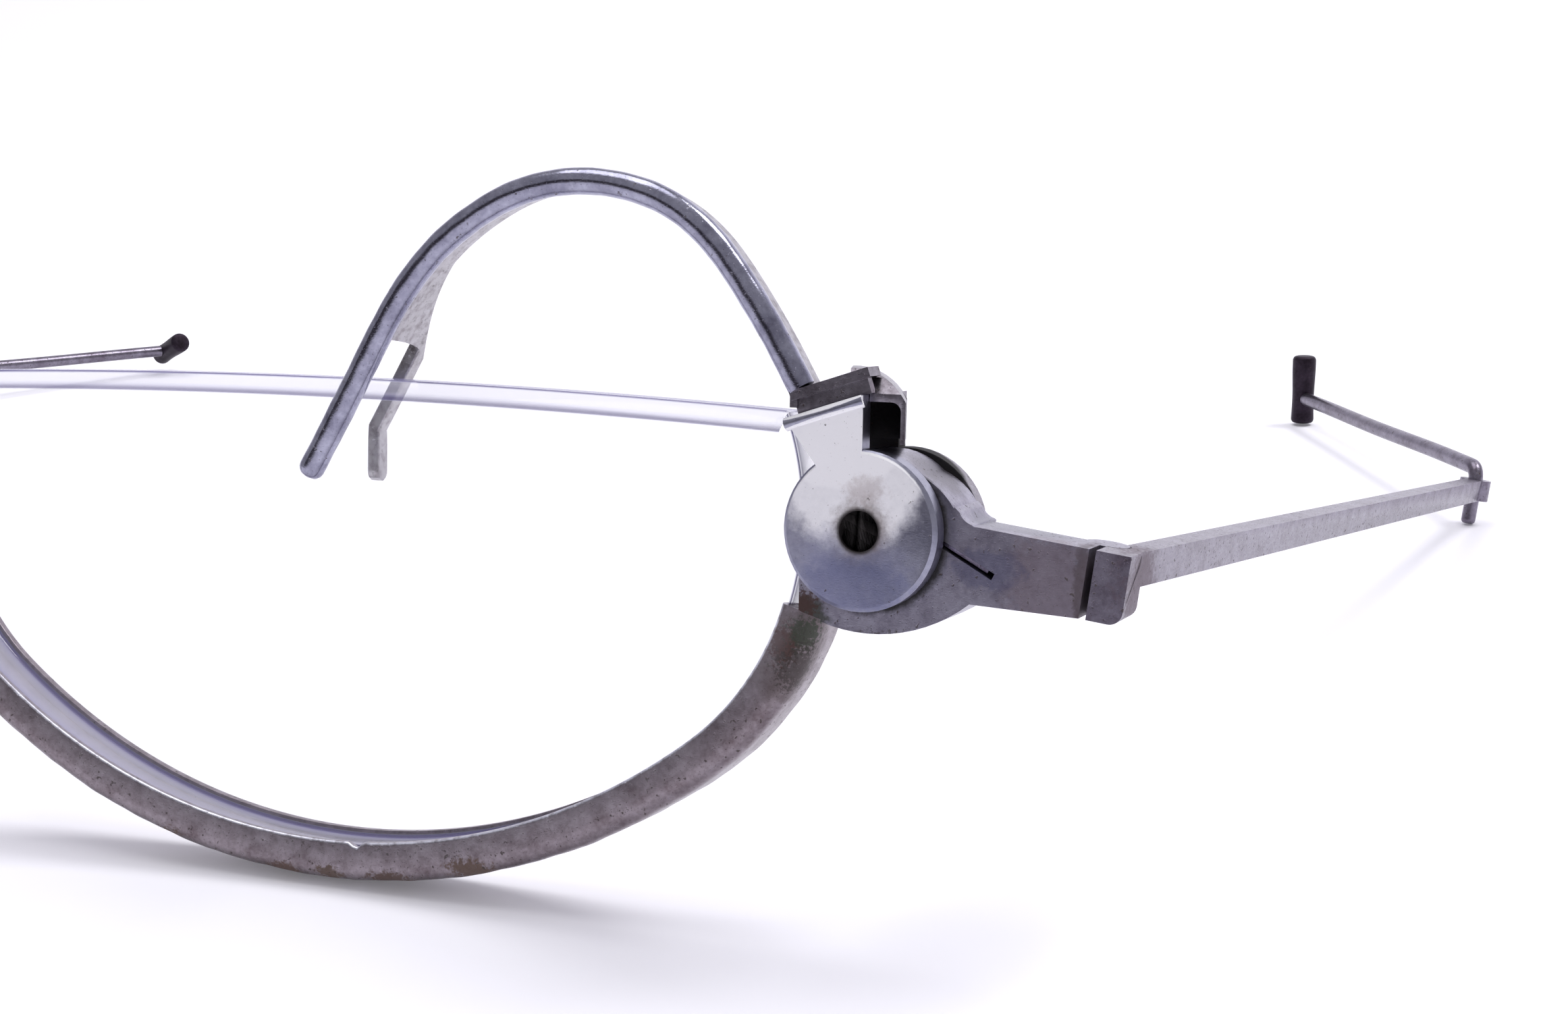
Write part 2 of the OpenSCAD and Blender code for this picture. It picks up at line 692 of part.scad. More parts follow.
// Rear arm: a wire whose front end is bent down through the eye as its turn pin
module rear_arm() {
    straight = arm_l - bend_r;
    color([0.52, 0.51, 0.54])
    union() {
        arm_frame() {
            translate([0, 0, -turn_pin_low]) cylinder(h = turn_pin_low + tip_rise - bend_r, r = turn_pin_r);
            translate([0, bend_r, tip_rise - bend_r]) rotate([0, -90, 0]) rotate([0, 0, -90])
                rotate_extrude(angle = 90 - arm_rise) translate([bend_r, 0]) circle(turn_pin_r, $fn = 48);
        }
        wire_frame() {
            cylinder(h = straight - tip_flat - fit, r = arm_r);
            cylinder(h = straight + tip_flat + fit + 0.1, r = tenon_r);
            translate([0, 0, straight + tip_flat + fit]) cylinder(h = 0.2, r = tenon_r + 0.16);
        }
    }
}

// Crosswise tip that turns on the end of the arm
module tip_pad(turn) {
    round = 0.3;
    color([0.17, 0.13, 0.16])
    tip_frame(turn) difference() {
        union() {
            translate([0, 0, round - tip_low]) cylinder(h = tip_l - 2 * round, r = tip_r);
            translate([0, 0, -tip_low]) cylinder(h = round, r1 = tip_r - round, r2 = tip_r);
            translate([0, 0, tip_l - tip_low - round]) cylinder(h = round, r1 = tip_r, r2 = tip_r - round);
        }
        rotate([90, 0, 0]) cylinder(h = 4, r = tenon_r + fit, center = true);
        for (s = [-1, 1]) translate([0, s * (tip_flat + 0.5), 0]) rotate([90, 0, 0])
            cylinder(h = 1, r = 0.7, center = true);
    }
}

// Nose bridge: a round wire arch whose ends are cut to the curve of the rims
module nose_bridge() {
    half_gap = drum_spacing / 2 - lens_to_drum - lens_half_w - rim_wall + 0.6;
    foot = 1.6;
    rise = bridge_top - bridge_d / 2 - foot;
    r = (half_gap * half_gap + rise * rise) / (2 * rise);
    sweep = asin(half_gap / r);
    color([0.64, 0.63, 0.65])
    to_table() difference() {
        translate([0, 0, foot + rise - r]) rotate([90, 0, 0]) rotate([0, 0, 90 - sweep])
            rotate_extrude(angle = 2 * sweep, $fn = 180) translate([r, 0]) circle(bridge_d / 2, $fn = 48);
        for (s = [-1, 1]) translate([s * (drum_spacing / 2 - end_c - lens_to_drum), 0, 0])
            along_y(-rim_depth) cylinder(h = 2 * rim_depth, r = lens_end_r + rim_wall, $fn = 240);
    }
}

module right_lens() on_side(1) lens();
module right_rim() on_side(1) rim();
module right_hub_endpiece() on_side(1) hub_endpiece();
module right_front_cheek() on_side(1) front_cheek();
module right_back_cheek() on_side(1) back_cheek();
module right_arch_wire() on_side(1) arch_wire();
module right_arch_strip() on_side(1) arch_strip();
module right_arch_bracket() on_side(1) arch_bracket();
module right_drum_spring() on_side(1) drum_spring();
module right_spring_arbor() on_side(1) spring_arbor();
module right_pivot_screw() on_side(1) pivot_screw();
module right_temple_bar() on_side(1) temple_bar();
module right_hinge_pin() on_side(1) hinge_pin();
module right_rear_arm() on_side(1) rear_arm();
module right_tip_pad() on_side(1) tip_pad(right_tip_turn);
module left_lens() on_side(-1) lens();
module left_rim() on_side(-1) rim();
module left_hub_endpiece() on_side(-1) hub_endpiece();
module left_front_cheek() on_side(-1) front_cheek();
module left_back_cheek() on_side(-1) back_cheek();
module left_arch_wire() on_side(-1) arch_wire();
module left_arch_strip() on_side(-1) arch_strip();
module left_arch_bracket() on_side(-1) arch_bracket();
module left_drum_spring() on_side(-1) drum_spring();
module left_spring_arbor() on_side(-1) spring_arbor();
module left_pivot_screw() on_side(-1) pivot_screw();
module left_temple_bar() on_side(-1) temple_bar();
module left_hinge_pin() on_side(-1) hinge_pin();
module left_rear_arm() on_side(-1) rear_arm();
module left_tip_pad() on_side(-1) tip_pad(left_tip_turn);

right_lens();
right_rim();
right_hub_endpiece();
right_front_cheek();
right_back_cheek();
right_arch_wire();
right_arch_strip();
right_arch_bracket();
right_drum_spring();
right_spring_arbor();
right_pivot_screw();
right_temple_bar();
right_hinge_pin();
right_rear_arm();
right_tip_pad();
left_lens();
left_rim();
left_hub_endpiece();
left_front_cheek();
left_back_cheek();
left_arch_wire();
left_arch_strip();
left_arch_bracket();
left_drum_spring();
left_spring_arbor();
left_pivot_screw();
left_temple_bar();
left_hinge_pin();
left_rear_arm();
left_tip_pad();
nose_bridge();
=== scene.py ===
"""Looks of half-eye folding spectacles with a sprung arch over each lens.

Every shape is drawn in millimetres in the upright front of the side at +X: X across the face, Y to the
back, Z up, with the drum axis at the origin. Stance then mirrors it for the other side, leans it back
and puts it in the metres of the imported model.
"""

from __future__ import annotations

import json
import logging
import math
from dataclasses import dataclass, field, fields
from enum import Enum
from typing import Sequence

import bmesh
import bpy
import numpy as np
from mathutils import Matrix, Vector

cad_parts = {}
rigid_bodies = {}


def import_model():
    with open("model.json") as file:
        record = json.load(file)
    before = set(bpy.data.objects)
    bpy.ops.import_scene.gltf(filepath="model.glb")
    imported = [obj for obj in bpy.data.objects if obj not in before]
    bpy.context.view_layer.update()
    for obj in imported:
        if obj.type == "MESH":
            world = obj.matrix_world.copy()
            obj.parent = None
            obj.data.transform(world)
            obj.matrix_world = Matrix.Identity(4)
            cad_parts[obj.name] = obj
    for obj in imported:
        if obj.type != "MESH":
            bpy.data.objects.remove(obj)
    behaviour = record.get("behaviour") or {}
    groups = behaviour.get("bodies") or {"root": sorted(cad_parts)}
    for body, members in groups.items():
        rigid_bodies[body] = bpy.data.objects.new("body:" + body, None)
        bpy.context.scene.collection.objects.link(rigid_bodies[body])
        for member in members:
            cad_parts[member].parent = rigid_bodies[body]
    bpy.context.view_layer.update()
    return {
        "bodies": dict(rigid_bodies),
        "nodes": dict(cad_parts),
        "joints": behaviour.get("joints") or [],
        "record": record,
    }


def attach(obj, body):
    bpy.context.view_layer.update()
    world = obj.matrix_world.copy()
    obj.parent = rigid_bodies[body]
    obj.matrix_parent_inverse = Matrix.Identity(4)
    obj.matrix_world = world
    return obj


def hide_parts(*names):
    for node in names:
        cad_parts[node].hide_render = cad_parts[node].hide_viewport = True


log = logging.getLogger("spectacles")
Array = np.ndarray
Color = tuple[float, float, float]
MM = 1000.0  # millimetres in a metre
RIGHT, BACK = np.eye(3)[:2]


class Side(Enum):
    """The two sides of the pair, with the sign of their X."""

    RIGHT = 1
    LEFT = -1

    @property
    def word(self) -> str:
        """The word that starts the names of this side's pieces."""
        return self.name.lower()


def turn(axis: str, degrees: float) -> Array:
    """Rotation matrix about one axis by the right-hand rule.

    Args:
        axis: "x", "y" or "z".
        degrees: the angle.

    Returns:
        A 3 by 3 matrix that turns column vectors.
    """
    return np.array(Matrix.Rotation(math.radians(degrees), 3, axis.upper()))


@dataclass(frozen=True)
class Stance:
    """How the pair stands on the table, as in the part's source."""

    half_spacing: float = 53.5
    lean: float = 8.72761
    lift: float = 16.15477
    shift: float = -47.97637
    hinge: tuple[float, float, float] = (8.35, 0.85, -1.48)
    droop: float = 7.0
    bar_start: tuple[float, float, float] = (0.93, -0.6, 0.625)
    splay: float = 4.7
    bar_fall: float = 1.2
    bar_length: float = 71.1
    arm_turn: float = 34.6
    arm_rise: float = 2.4
    bend: float = 0.9
    arm_height: float = 1.4

    def on_table(self, points: Array, side: Side) -> Array:
        """Puts points of the upright front on the table.

        Args:
            points: N by 3 array in millimetres.
            side: the side they belong to.

        Returns:
            N by 3 array in metres.
        """
        moved = (points + [self.half_spacing, 0, 0]) * [side.value, 1, 1]
        return (moved @ turn("x", -self.lean).T + [0, self.shift, self.lift]) / MM

    def from_bar(self, points: Array) -> Array:
        """Takes points of the side bar's frame, with Y along the bar, to the upright front."""
        local = points @ turn("x", -self.bar_fall).T @ turn("z", -self.splay).T + self.bar_start
        return local @ turn("y", self.droop).T + self.hinge

    def from_pin(self, points: Array) -> Array:
        """Takes points of the turn pin's frame, with Y under the arm, to the upright front."""
        return self.from_bar(points @ turn("z", self.arm_turn).T + [0, self.bar_length, 0])

    def from_wire(self, points: Array) -> Array:
        """Takes points of the arm's straight to the pin's frame.

        Args:
            points: N by 3 array in millimetres, with Y along the straight.

        Returns:
            N by 3 array in millimetres.
        """
        rise = math.radians(self.arm_rise)
        start = [
            0,
            self.bend * (1 - math.sin(rise)),
            self.arm_height - self.bend + self.bend * math.cos(rise),
        ]
        return points @ turn("x", self.arm_rise).T + start


STANCE = Stance()


@dataclass
class Surface:
    """A mesh in the making: points, faces, and the UV of each face corner."""

    points: Array = field(default_factory=lambda: np.zeros((0, 3)))
    faces: list[list[int]] = field(default_factory=list)
    corners: list[list[tuple[float, float]]] = field(default_factory=list)
    wear: Array = field(default_factory=lambda: np.zeros(0))

    def add_grid(
        self, grid: Array, uv: Array, wear: Array | None = None, around: bool = False
    ) -> None:
        """Adds a grid of quads.

        Args:
            grid: M by N by 3 array of points, N going round the profile.
            uv: M by N+1 by 2 array when around is set, else M by N by 2.
            wear: M by N array of rubbed edge and painted edge highlight, or None.
            around: joins the last column to the first.
        """
        m, n, _ = grid.shape
        base = len(self.points)
        self.points = np.vstack([self.points, grid.reshape(-1, 3)])
        extra = np.zeros(m * n) if wear is None else np.broadcast_to(wear, (m, n)).reshape(-1)
        self.wear = np.concatenate([self.wear, extra])
        columns = n if around else n - 1
        rows, places = np.meshgrid(np.arange(m - 1), np.arange(columns), indexing="ij")
        i, j = rows.reshape(-1), places.reshape(-1)
        k = (j + 1) % n
        quads = np.stack([i * n + j, i * n + k, (i + 1) * n + k, (i + 1) * n + j], 1) + base
        self.faces += quads.tolist()
        at = np.stack([uv[i, j], uv[i, j + 1], uv[i + 1, j + 1], uv[i + 1, j]], 1)
        self.corners += at.tolist()

    def add_cap(self, ring: Sequence[int]) -> None:
        """Closes a ring of points with a fan about its middle.

        Args:
            ring: the points' numbers, in order.
        """
        ring = list(ring)
        middle = self.points[ring].mean(0)
        self.points = np.vstack([self.points, middle[None]])
        self.wear = np.append(self.wear, 0.0)
        centre = len(self.points) - 1
        for a, b in zip(ring, ring[1:] + ring[:1]):
            self.faces.append([a, b, centre])
            self.corners.append([(0.0, 0.0)] * 3)

    def add_tube(
        self, path: Array, across: Array, up: Array, profile: Array,
        scale: Array | None = None, wear: Array | None = None,
    ) -> "Surface":
        """Carries a closed profile along a path and closes both ends.

        Point (i, j) is path[i] + across[i] * profile[j, 0] + up[i] * profile[j, 1], times scale[i].

        Args:
            path: M by 3 points.
            across: unit vector, or M of them, for the profile's first coordinate.
            up: the same for its second.
            profile: N by 2 closed outline, or M by N by 2 where it changes along the path.
            scale: M factors for the profile, or None.
            wear: N values of rubbed edge round the profile, with painted highlight on the rim's lip, or
                None.

        Returns:
            This surface.
        """
        across, up = np.broadcast_to(across, path.shape), np.broadcast_to(up, path.shape)
        shape = np.broadcast_to(profile, (len(path), *profile.shape[-2:]))
        if scale is not None:
            shape = shape * scale[:, None, None]
        grid = path[:, None] + across[:, None] * shape[..., :1] + up[:, None] * shape[..., 1:]
        m, n = grid.shape[:2]
        u = np.broadcast_to(way_along(path)[:, None], (m, n + 1))
        v = np.broadcast_to(np.linspace(0, 1, n + 1)[None], (m, n + 1))
        base = len(self.points)
        self.add_grid(grid, np.stack([u, v], -1), None if wear is None else wear[None], around=True)
        self.add_cap(range(base, base + n))
        self.add_cap(range(base + (m - 1) * n, base + m * n))
        return self

    def build(self, name: str, side: Side | None, sharp: float = 35.0) -> bpy.types.Object:
        """Makes the Blender object.

        Args:
            name: its name.
            side: the side it is put on, or None where the points are already in metres on the table.
            sharp: angle between faces from which an edge stays sharp, in degrees.

        Returns:
            The object, at the origin, with its place in its mesh.
        """
        co = STANCE.on_table(self.points, side) if side else self.points
        mesh = bpy.data.meshes.new(name)
        mesh.from_pydata(co.tolist(), [], self.faces)
        layer = mesh.uv_layers.new(name="along")
        layer.data.foreach_set("uv", np.array([c for f in self.corners for c in f], float).reshape(-1))
        mark = mesh.attributes.new("wear", "FLOAT", "POINT")
        mark.data.foreach_set("value", self.wear)
        work = bmesh.new()
        work.from_mesh(mesh)
        bmesh.ops.remove_doubles(work, verts=work.verts, dist=1e-8)
        bmesh.ops.recalc_face_normals(work, faces=work.faces)
        work.to_mesh(mesh)
        work.free()
        mesh.polygons.foreach_set("use_smooth", np.ones(len(mesh.polygons), bool))
        mesh.set_sharp_from_angle(angle=math.radians(sharp))
        obj = bpy.data.objects.new(name, mesh)
        bpy.context.collection.objects.link(obj)
        return obj


MERGE = 2e-7  # points of a CAD mesh this near are one, in metres
FLAT = math.radians(0.7)  # CAD faces that meet at less are joined
SHARP = math.radians(33)  # edges from this angle up are rounded
BEVEL_STEPS = 3


def way_along(path: Array) -> Array:
    """Way along a path at each of its points."""
    return np.concatenate([[0], np.cumsum(np.linalg.norm(np.diff(path, axis=0), axis=1))])


def circle_profile(radius: float, count: int) -> Array:
    """Closed circle: count points at equal angles."""
    a = np.linspace(0, 2 * math.pi, count, endpoint=False)
    return radius * np.stack([np.cos(a), np.sin(a)], 1)


def rounded_profile(corners: Array, radius: float | Array, steps: int) -> Array:
    """Closed polygon whose corners are replaced by arcs.

    Each corner is cut at radius / tan(half its angle) from itself, and the arc is a quadratic curve
    between the two cuts, pulled to the corner.

    Args:
        corners: N by 2 polygon.
        radius: rounding of every corner, or one value for each.
        steps: points on each arc.

    Returns:
        N * steps by 2 outline.
    """
    before = np.roll(corners, 1, 0) - corners
    after = np.roll(corners, -1, 0) - corners
    length_a = np.linalg.norm(before, axis=1)
    length_b = np.linalg.norm(after, axis=1)
    a, b = before / length_a[:, None], after / length_b[:, None]
    half = np.arccos(np.clip((a * b).sum(1), -1, 1)) / 2
    cut = np.broadcast_to(radius, len(corners)) / np.maximum(np.tan(half), 1e-3)
    cut = np.minimum(cut, 0.49 * np.minimum(length_a, length_b))[:, None, None]
    t = np.linspace(0, 1, steps)[None, :, None]
    q = corners[:, None]
    p, r = q + a[:, None] * cut, q + b[:, None] * cut
    return ((1 - t) ** 2 * p + 2 * t * (1 - t) * q + t**2 * r).reshape(-1, 2)


def softened(node: bpy.types.Object, name: str, width: float) -> bpy.types.Object:
    """Copies a CAD node, merges it, and rounds its edges.

    Args:
        node: the CAD object.
        name: name of the new object.
        width: width of the rounding in millimetres.

    Returns:
        The new object, with its place in its mesh.
    """
    mesh = node.data.copy()
    mesh.name = name
    mesh.materials.clear()
    work = bmesh.new()
    work.from_mesh(mesh)
    bmesh.ops.remove_doubles(work, verts=work.verts, dist=MERGE)
    bmesh.ops.dissolve_limit(work, angle_limit=FLAT, verts=work.verts, edges=work.edges)
    work.to_mesh(mesh)
    work.free()
    for layer in list(mesh.uv_layers):
        mesh.uv_layers.remove(layer)
    mesh.polygons.foreach_set("use_smooth", np.ones(len(mesh.polygons), bool))
    mesh.set_sharp_from_angle(angle=SHARP)
    obj = bpy.data.objects.new(name, mesh)
    bpy.context.collection.objects.link(obj)
    bevel = obj.modifiers.new("soft_edges", "BEVEL")
    bevel.width = width / MM
    bevel.segments = BEVEL_STEPS
    bevel.limit_method = "ANGLE"
    bevel.angle_limit = SHARP
    bevel.use_clamp_overlap = True
    bevel.harden_normals = True
    return obj


class Value:
    """One output socket of a shader, with the usual arithmetic."""

    def __init__(self, board: "Board", socket: bpy.types.NodeSocket) -> None:
        """Keeps the socket and the board that it is on."""
        self.board = board
        self.socket = socket

    def _with(self, operation: str, other: object) -> "Value":
        """A Math node of this value and another."""
        return self.board.node("ShaderNodeMath", {"operation": operation}, {0: self, 1: other})

    def __add__(self, other: object) -> "Value":
        """self + other"""
        return self._with("ADD", other)

    __radd__ = __add__

    def __sub__(self, other: object) -> "Value":
        """self - other"""
        return self._with("SUBTRACT", other)

    def __rsub__(self, other: object) -> "Value":
        """other - self"""
        return self.board.node("ShaderNodeMath", {"operation": "SUBTRACT"}, {0: other, 1: self})

    def __mul__(self, other: object) -> "Value":
        """self * other"""
        return self._with("MULTIPLY", other)

    __rmul__ = __mul__

    def clamped(self) -> "Value":
        """This value held between 0 and 1."""
        return self.board.node("ShaderNodeClamp", {}, {0: self})

    def most(self, other: object) -> "Value":
        """The larger of two values."""
        return self._with("MAXIMUM", other)

    def step(self, low: float, high: float) -> "Value":
        """A smooth step.

        Args:
            low: the value at which it is 0.
            high: the value at which it is 1; it may be less than low.

        Returns:
            A value between 0 and 1.
        """
        rising = low < high
        return self.board.node(
            "ShaderNodeMapRange",
            {"interpolation_type": "SMOOTHSTEP"},
            {"Value": self, "From Min": min(low, high), "From Max": max(low, high),
             "To Min": float(not rising), "To Max": float(rising)},
        )


class Board:
    """The node tree of one material."""

    def __init__(self, name: str) -> None:
        """Starts an empty node material."""
        self.material = bpy.data.materials.new(name)
        self.material.use_nodes = True
        self.tree = self.material.node_tree
        self.tree.nodes.clear()
        self._place: Value | None = None

    def node(
        self, kind: str, settings: dict[str, object], inputs: dict[object, object], output: object = 0
    ) -> Value:
        """Makes any node.

        Args:
            kind: the node's type.
            settings: its properties, set first.
            inputs: socket name or number to a value, a colour or another output.
            output: name or number of the output to return.

        Returns:
            That output.
        """
        made = self.tree.nodes.new(kind)
        for key, value in settings.items():
            setattr(made, key, value)
        for key, value in inputs.items():
            socket = made.inputs[key]
            if isinstance(value, Value):
                self.tree.links.new(value.socket, socket)
            elif isinstance(value, tuple) and len(value) == 3 and len(socket.default_value) == 4:
                socket.default_value = (*value, 1.0)
            else:
                socket.default_value = value
        return Value(self, made.outputs[output])

    def place(self) -> Value:
        """Object coordinates in millimetres."""
        if self._place is None:
            at = self.node("ShaderNodeTexCoord", {}, {}, "Object")
            scaled = {0: at, "Scale": MM}
            self._place = self.node("ShaderNodeVectorMath", {"operation": "SCALE"}, scaled)
        return self._place

    def noise(
        self, scale: float, detail: float, rough: float,
        stretch: Color = (1.0, 1.0, 1.0), shift: float = 0.0,
    ) -> Value:
        """Noise between 0 and 1.

        Args:
            scale: grains in a millimetre, about.
            detail: finer layers on top.
            rough: how much they add.
            stretch: factor on each axis of the place.
            shift: way along each axis, so that two noises differ.

        Returns:
            The noise.
        """
        place = self.place()
        if shift:
            moved = {"Vector": place, "Location": (shift, shift, shift), "Scale": stretch}
            place = self.node("ShaderNodeMapping", {}, moved)
        grains = {"Vector": place, "Scale": scale, "Detail": detail, "Roughness": rough}
        return self.node("ShaderNodeTexNoise", {}, grains, "Fac")

    def mix(self, amount: object, a: object, b: object) -> Value:
        """Colour a turned into colour b by amount."""
        return self.node("ShaderNodeMix", {"data_type": "RGBA"}, {"Factor": amount, 6: a, 7: b}, 2)

    def wear(self) -> Value:
        """The rubbed-edge amount, with painted edge highlight on the glass and on the rim's lip, that the
        mesh's points carry.
        """
        return self.node("ShaderNodeAttribute", {"attribute_name": "wear"}, {}, "Fac")

    def principled(self, inputs: dict[str, object]) -> bpy.types.Material:
        """Ends the material in a Principled shader.

        Args:
            inputs: socket name to a value, a colour or another output.

        Returns:
            The material.
        """
        shader = self.node("ShaderNodeBsdfPrincipled", {}, inputs)
        out = self.tree.nodes.new("ShaderNodeOutputMaterial")
        self.tree.links.new(shader.socket, out.inputs["Surface"])
        return self.material

    def front(self, side: Side) -> Value:
        """Coordinates of the upright front, for which the leaning model is turned back and mirrored.

        Args:
            side: the side whose +X form is wanted.

        Returns:
            The coordinates in millimetres.
        """
        s = STANCE
        back = turn("x", s.lean) @ np.array([0.0, s.shift, s.lift])
        return self.node("ShaderNodeMapping", {"vector_type": "POINT"}, {
            "Vector": self.place(),
            "Scale": (float(side.value), 1.0, 1.0),
            "Rotation": (math.radians(s.lean), 0.0, 0.0),
            "Location": (-s.half_spacing, float(-back[1]), float(-back[2])),
        })

    def patch(self, front: Value, spot: "Patch") -> Value:
        """Mask of an ellipsoid of the upright front, with a ragged edge.

        The distance is the length of (front - at) / reach, plus noise; the mask falls from 1 to 0 as it
        grows from 1 - soft to 1.

        Args:
            front: coordinates of the upright front.
            spot: the ellipsoid.

        Returns:
            1 inside, 0 outside.
        """
        gap = self.node("ShaderNodeVectorMath", {"operation": "SUBTRACT"}, {0: front, 1: spot.at})
        part = self.node("ShaderNodeVectorMath", {"operation": "DIVIDE"}, {0: gap, 1: spot.reach})
        far = self.node("ShaderNodeVectorMath", {"operation": "LENGTH"}, {0: part}, "Value")
        far = far + (self.noise(spot.grain, 4.0, 0.7) - 0.5) * (2 * spot.ragged)
        return far.step(1.0, 1.0 - spot.soft)


@dataclass(frozen=True)
class Patch:
    """A stain, a painted shade or shadow in a fold or gap, or a painted reflection, stated for the +X
    side.

    It is an ellipsoid of the upright front about at, reach long each way, with a ragged and soft edge
    whose grains have the size 1 / grain.
    """

    at: Color
    reach: Color
    colour: Color
    ragged: float = 0.3
    soft: float = 0.4
    grain: float = 2.0
    rough: float = 0.55
    metal: float = 0.2
    amount: float = 1.0


@dataclass(frozen=True)
class WornMetal:
    """Handled and tarnished nickel: two tones, dark pits, fine scratches and patches, of which some are
    stains and some are painted shade, painted shadow or painted reflection.

    Contrast moves the mottling to the dark tone, pits is how many there are, and grain stretches the
    scratches along each axis. Edge is the colour of rubbed edges, which on the rim's front lip is also a
    painted highlight, and relief is in millimetres.
    """

    name: str
    light: Color
    dark: Color
    mottle: float = 0.9
    contrast: float = 0.5
    pits: float = 0.35
    pit_grain: float = 5.0
    pit_colour: Color = (0.05, 0.035, 0.03)
    rough_low: float = 0.22
    rough_high: float = 0.4
    edge: Color = (0.9, 0.9, 0.94)
    patches: tuple[Patch, ...] = ()
    relief: float = 0.02
    grain: Color = (1.0, 0.25, 4.0)

    def tone(self, board: Board) -> Value:
        """Base colour before patches: light turned to dark by two sizes of mottling."""
        coarse = board.noise(self.mottle, 4.0, 0.6)
        fine = board.noise(self.mottle * 5, 3.0, 0.6, shift=7.0)
        amount = ((coarse * 0.65 + fine * 0.35 - 0.5) * 2.6 + self.contrast).clamped()
        return board.mix(amount, self.light, self.dark)

    def dirt(self, board: Board) -> Value:
        """Mask of pits and of finer specks, each the top of a noise, lower where there are more."""
        pit = board.noise(self.pit_grain, 2.0, 0.5, shift=3.0)
        speck = board.noise(self.pit_grain * 3.2, 2.0, 0.5, shift=11.0)
        pit_low, speck_low = 0.74 - 0.12 * self.pits, 0.72 - 0.1 * self.pits
        pit, speck = pit.step(pit_low, pit_low + 0.08), speck.step(speck_low, speck_low + 0.08)
        return (pit * 0.8).most(speck * 0.6).clamped()

    def material(self, side: Side) -> bpy.types.Material:
        """Makes the finish for one side's pieces.

        Args:
            side: the side.

        Returns:
            The material.
        """
        board = Board(f"{side.word}_{self.name}")
        colour = self.tone(board)
        scratch = board.noise(9.0, 2.0, 0.5, stretch=self.grain, shift=2.0)
        rough: Value = self.rough_low + (self.rough_high - self.rough_low) * scratch
        metal: Value = 1.0 - scratch * 0.05
        front = board.front(side) if self.patches else None
        # Patches: stains, and painted shade, painted shadow and painted reflection where a finish lists
        # them.
        for n, spot in enumerate(self.patches):
            holes = board.noise(4.0, 3.0, 0.7, shift=float(n)) * 0.25 * min(1.0, spot.ragged * 4)
            mask = (board.patch(front, spot) * (spot.amount - holes)).clamped()
            colour = board.mix(mask, colour, spot.colour)
            rough = rough + mask * (spot.rough - rough)
            metal = metal + mask * (spot.metal - metal)
        dirt = self.dirt(board)
        colour = board.mix(dirt, colour, self.pit_colour)
        uneven = board.noise(2.5, 3.0, 0.6, shift=5.0).step(0.25, 0.6) * 0.7 + 0.3
        # Rubbed edges, which on the rim's front lip are also a painted highlight.
        colour = board.mix((board.wear() * uneven).clamped(), colour, self.edge)
        height = board.noise(14.0, 3.0, 0.6, shift=9.0) * 0.25 + scratch * 0.25 - dirt * 1.2
        bump = board.node(
            "ShaderNodeBump", {}, {"Strength": 0.5, "Distance": self.relief / MM, "Height": height}
        )
        return board.principled({
            "Base Color": colour,
            "Roughness": (rough + dirt * 0.3).clamped(),
            "Metallic": (metal - dirt * 0.7).clamped(),
            "Normal": bump,
        })


@dataclass(frozen=True)
class ClearGlass:
    """Old lens glass: clear faces with a little lint, pale lavender edges painted as the highlight they
    catch, and painted dark lines along their sharpest lines as shade.
    """

    name: str = "lens_glass"
    face: Color = (0.95, 0.95, 1.0)
    edge: Color = (0.47, 0.45, 0.74)
    line: Color = (0.20, 0.18, 0.36)

    def material(self, side: Side) -> bpy.types.Material:
        """Makes the glass of one side's lens, whose edge light is 0 on its faces and 1 on its sharp
        lines, where it paints the highlight and the dark lines.

        Args:
            side: the side.

        Returns:
            The material.
        """
        board = Board(f"{side.word}_{self.name}")
        wear = board.wear()
        lint = board.noise(0.7, 6.0, 0.8).step(0.66, 0.8) * 0.02
        # Painted highlight: lavender on the glass edges; painted shade: dark lines on the sharpest of
        # them.
        colour = board.mix(wear, self.face, self.edge)
        colour = board.mix(wear.step(0.6, 0.95), colour, self.line)
        alpha = (0.05 + lint + wear * 0.75).clamped()
        return board.principled(
            {"Base Color": colour, "Roughness": 0.04, "Alpha": alpha, "IOR": 1.5}
        )


@dataclass(frozen=True)
class Sweep:
    """The pale paper that the pair stands on, which glows a little to stay white."""

    colour: Color = (0.93, 0.92, 0.975)
    grain: Color = (0.86, 0.85, 0.93)
    glow: Color = (0.96, 0.955, 1.0)

    def material(self) -> bpy.types.Material:
        """Matt paper with the faintest grain."""
        board = Board("paper")
        colour = board.mix(board.noise(0.5, 4.0, 0.6) * 0.06, self.colour, self.grain)
        return board.principled({
            "Base Color": colour, "Roughness": 0.8, "Specular IOR Level": 0.2,
            "Emission Color": self.glow, "Emission Strength": 0.12,
        })


@dataclass(frozen=True)
class Felt:
    """The dark card's felt."""

    light: Color = (0.06, 0.05, 0.055)
    dark: Color = (0.035, 0.03, 0.035)

    def material(self) -> bpy.types.Material:
        """Matt felt of two near tones."""
        board = Board("card_felt")
        tone = board.mix(board.noise(0.3, 3.0, 0.6), self.dark, self.light)
        return board.principled({"Base Color": tone, "Roughness": 0.9, "Specular IOR Level": 0.1})


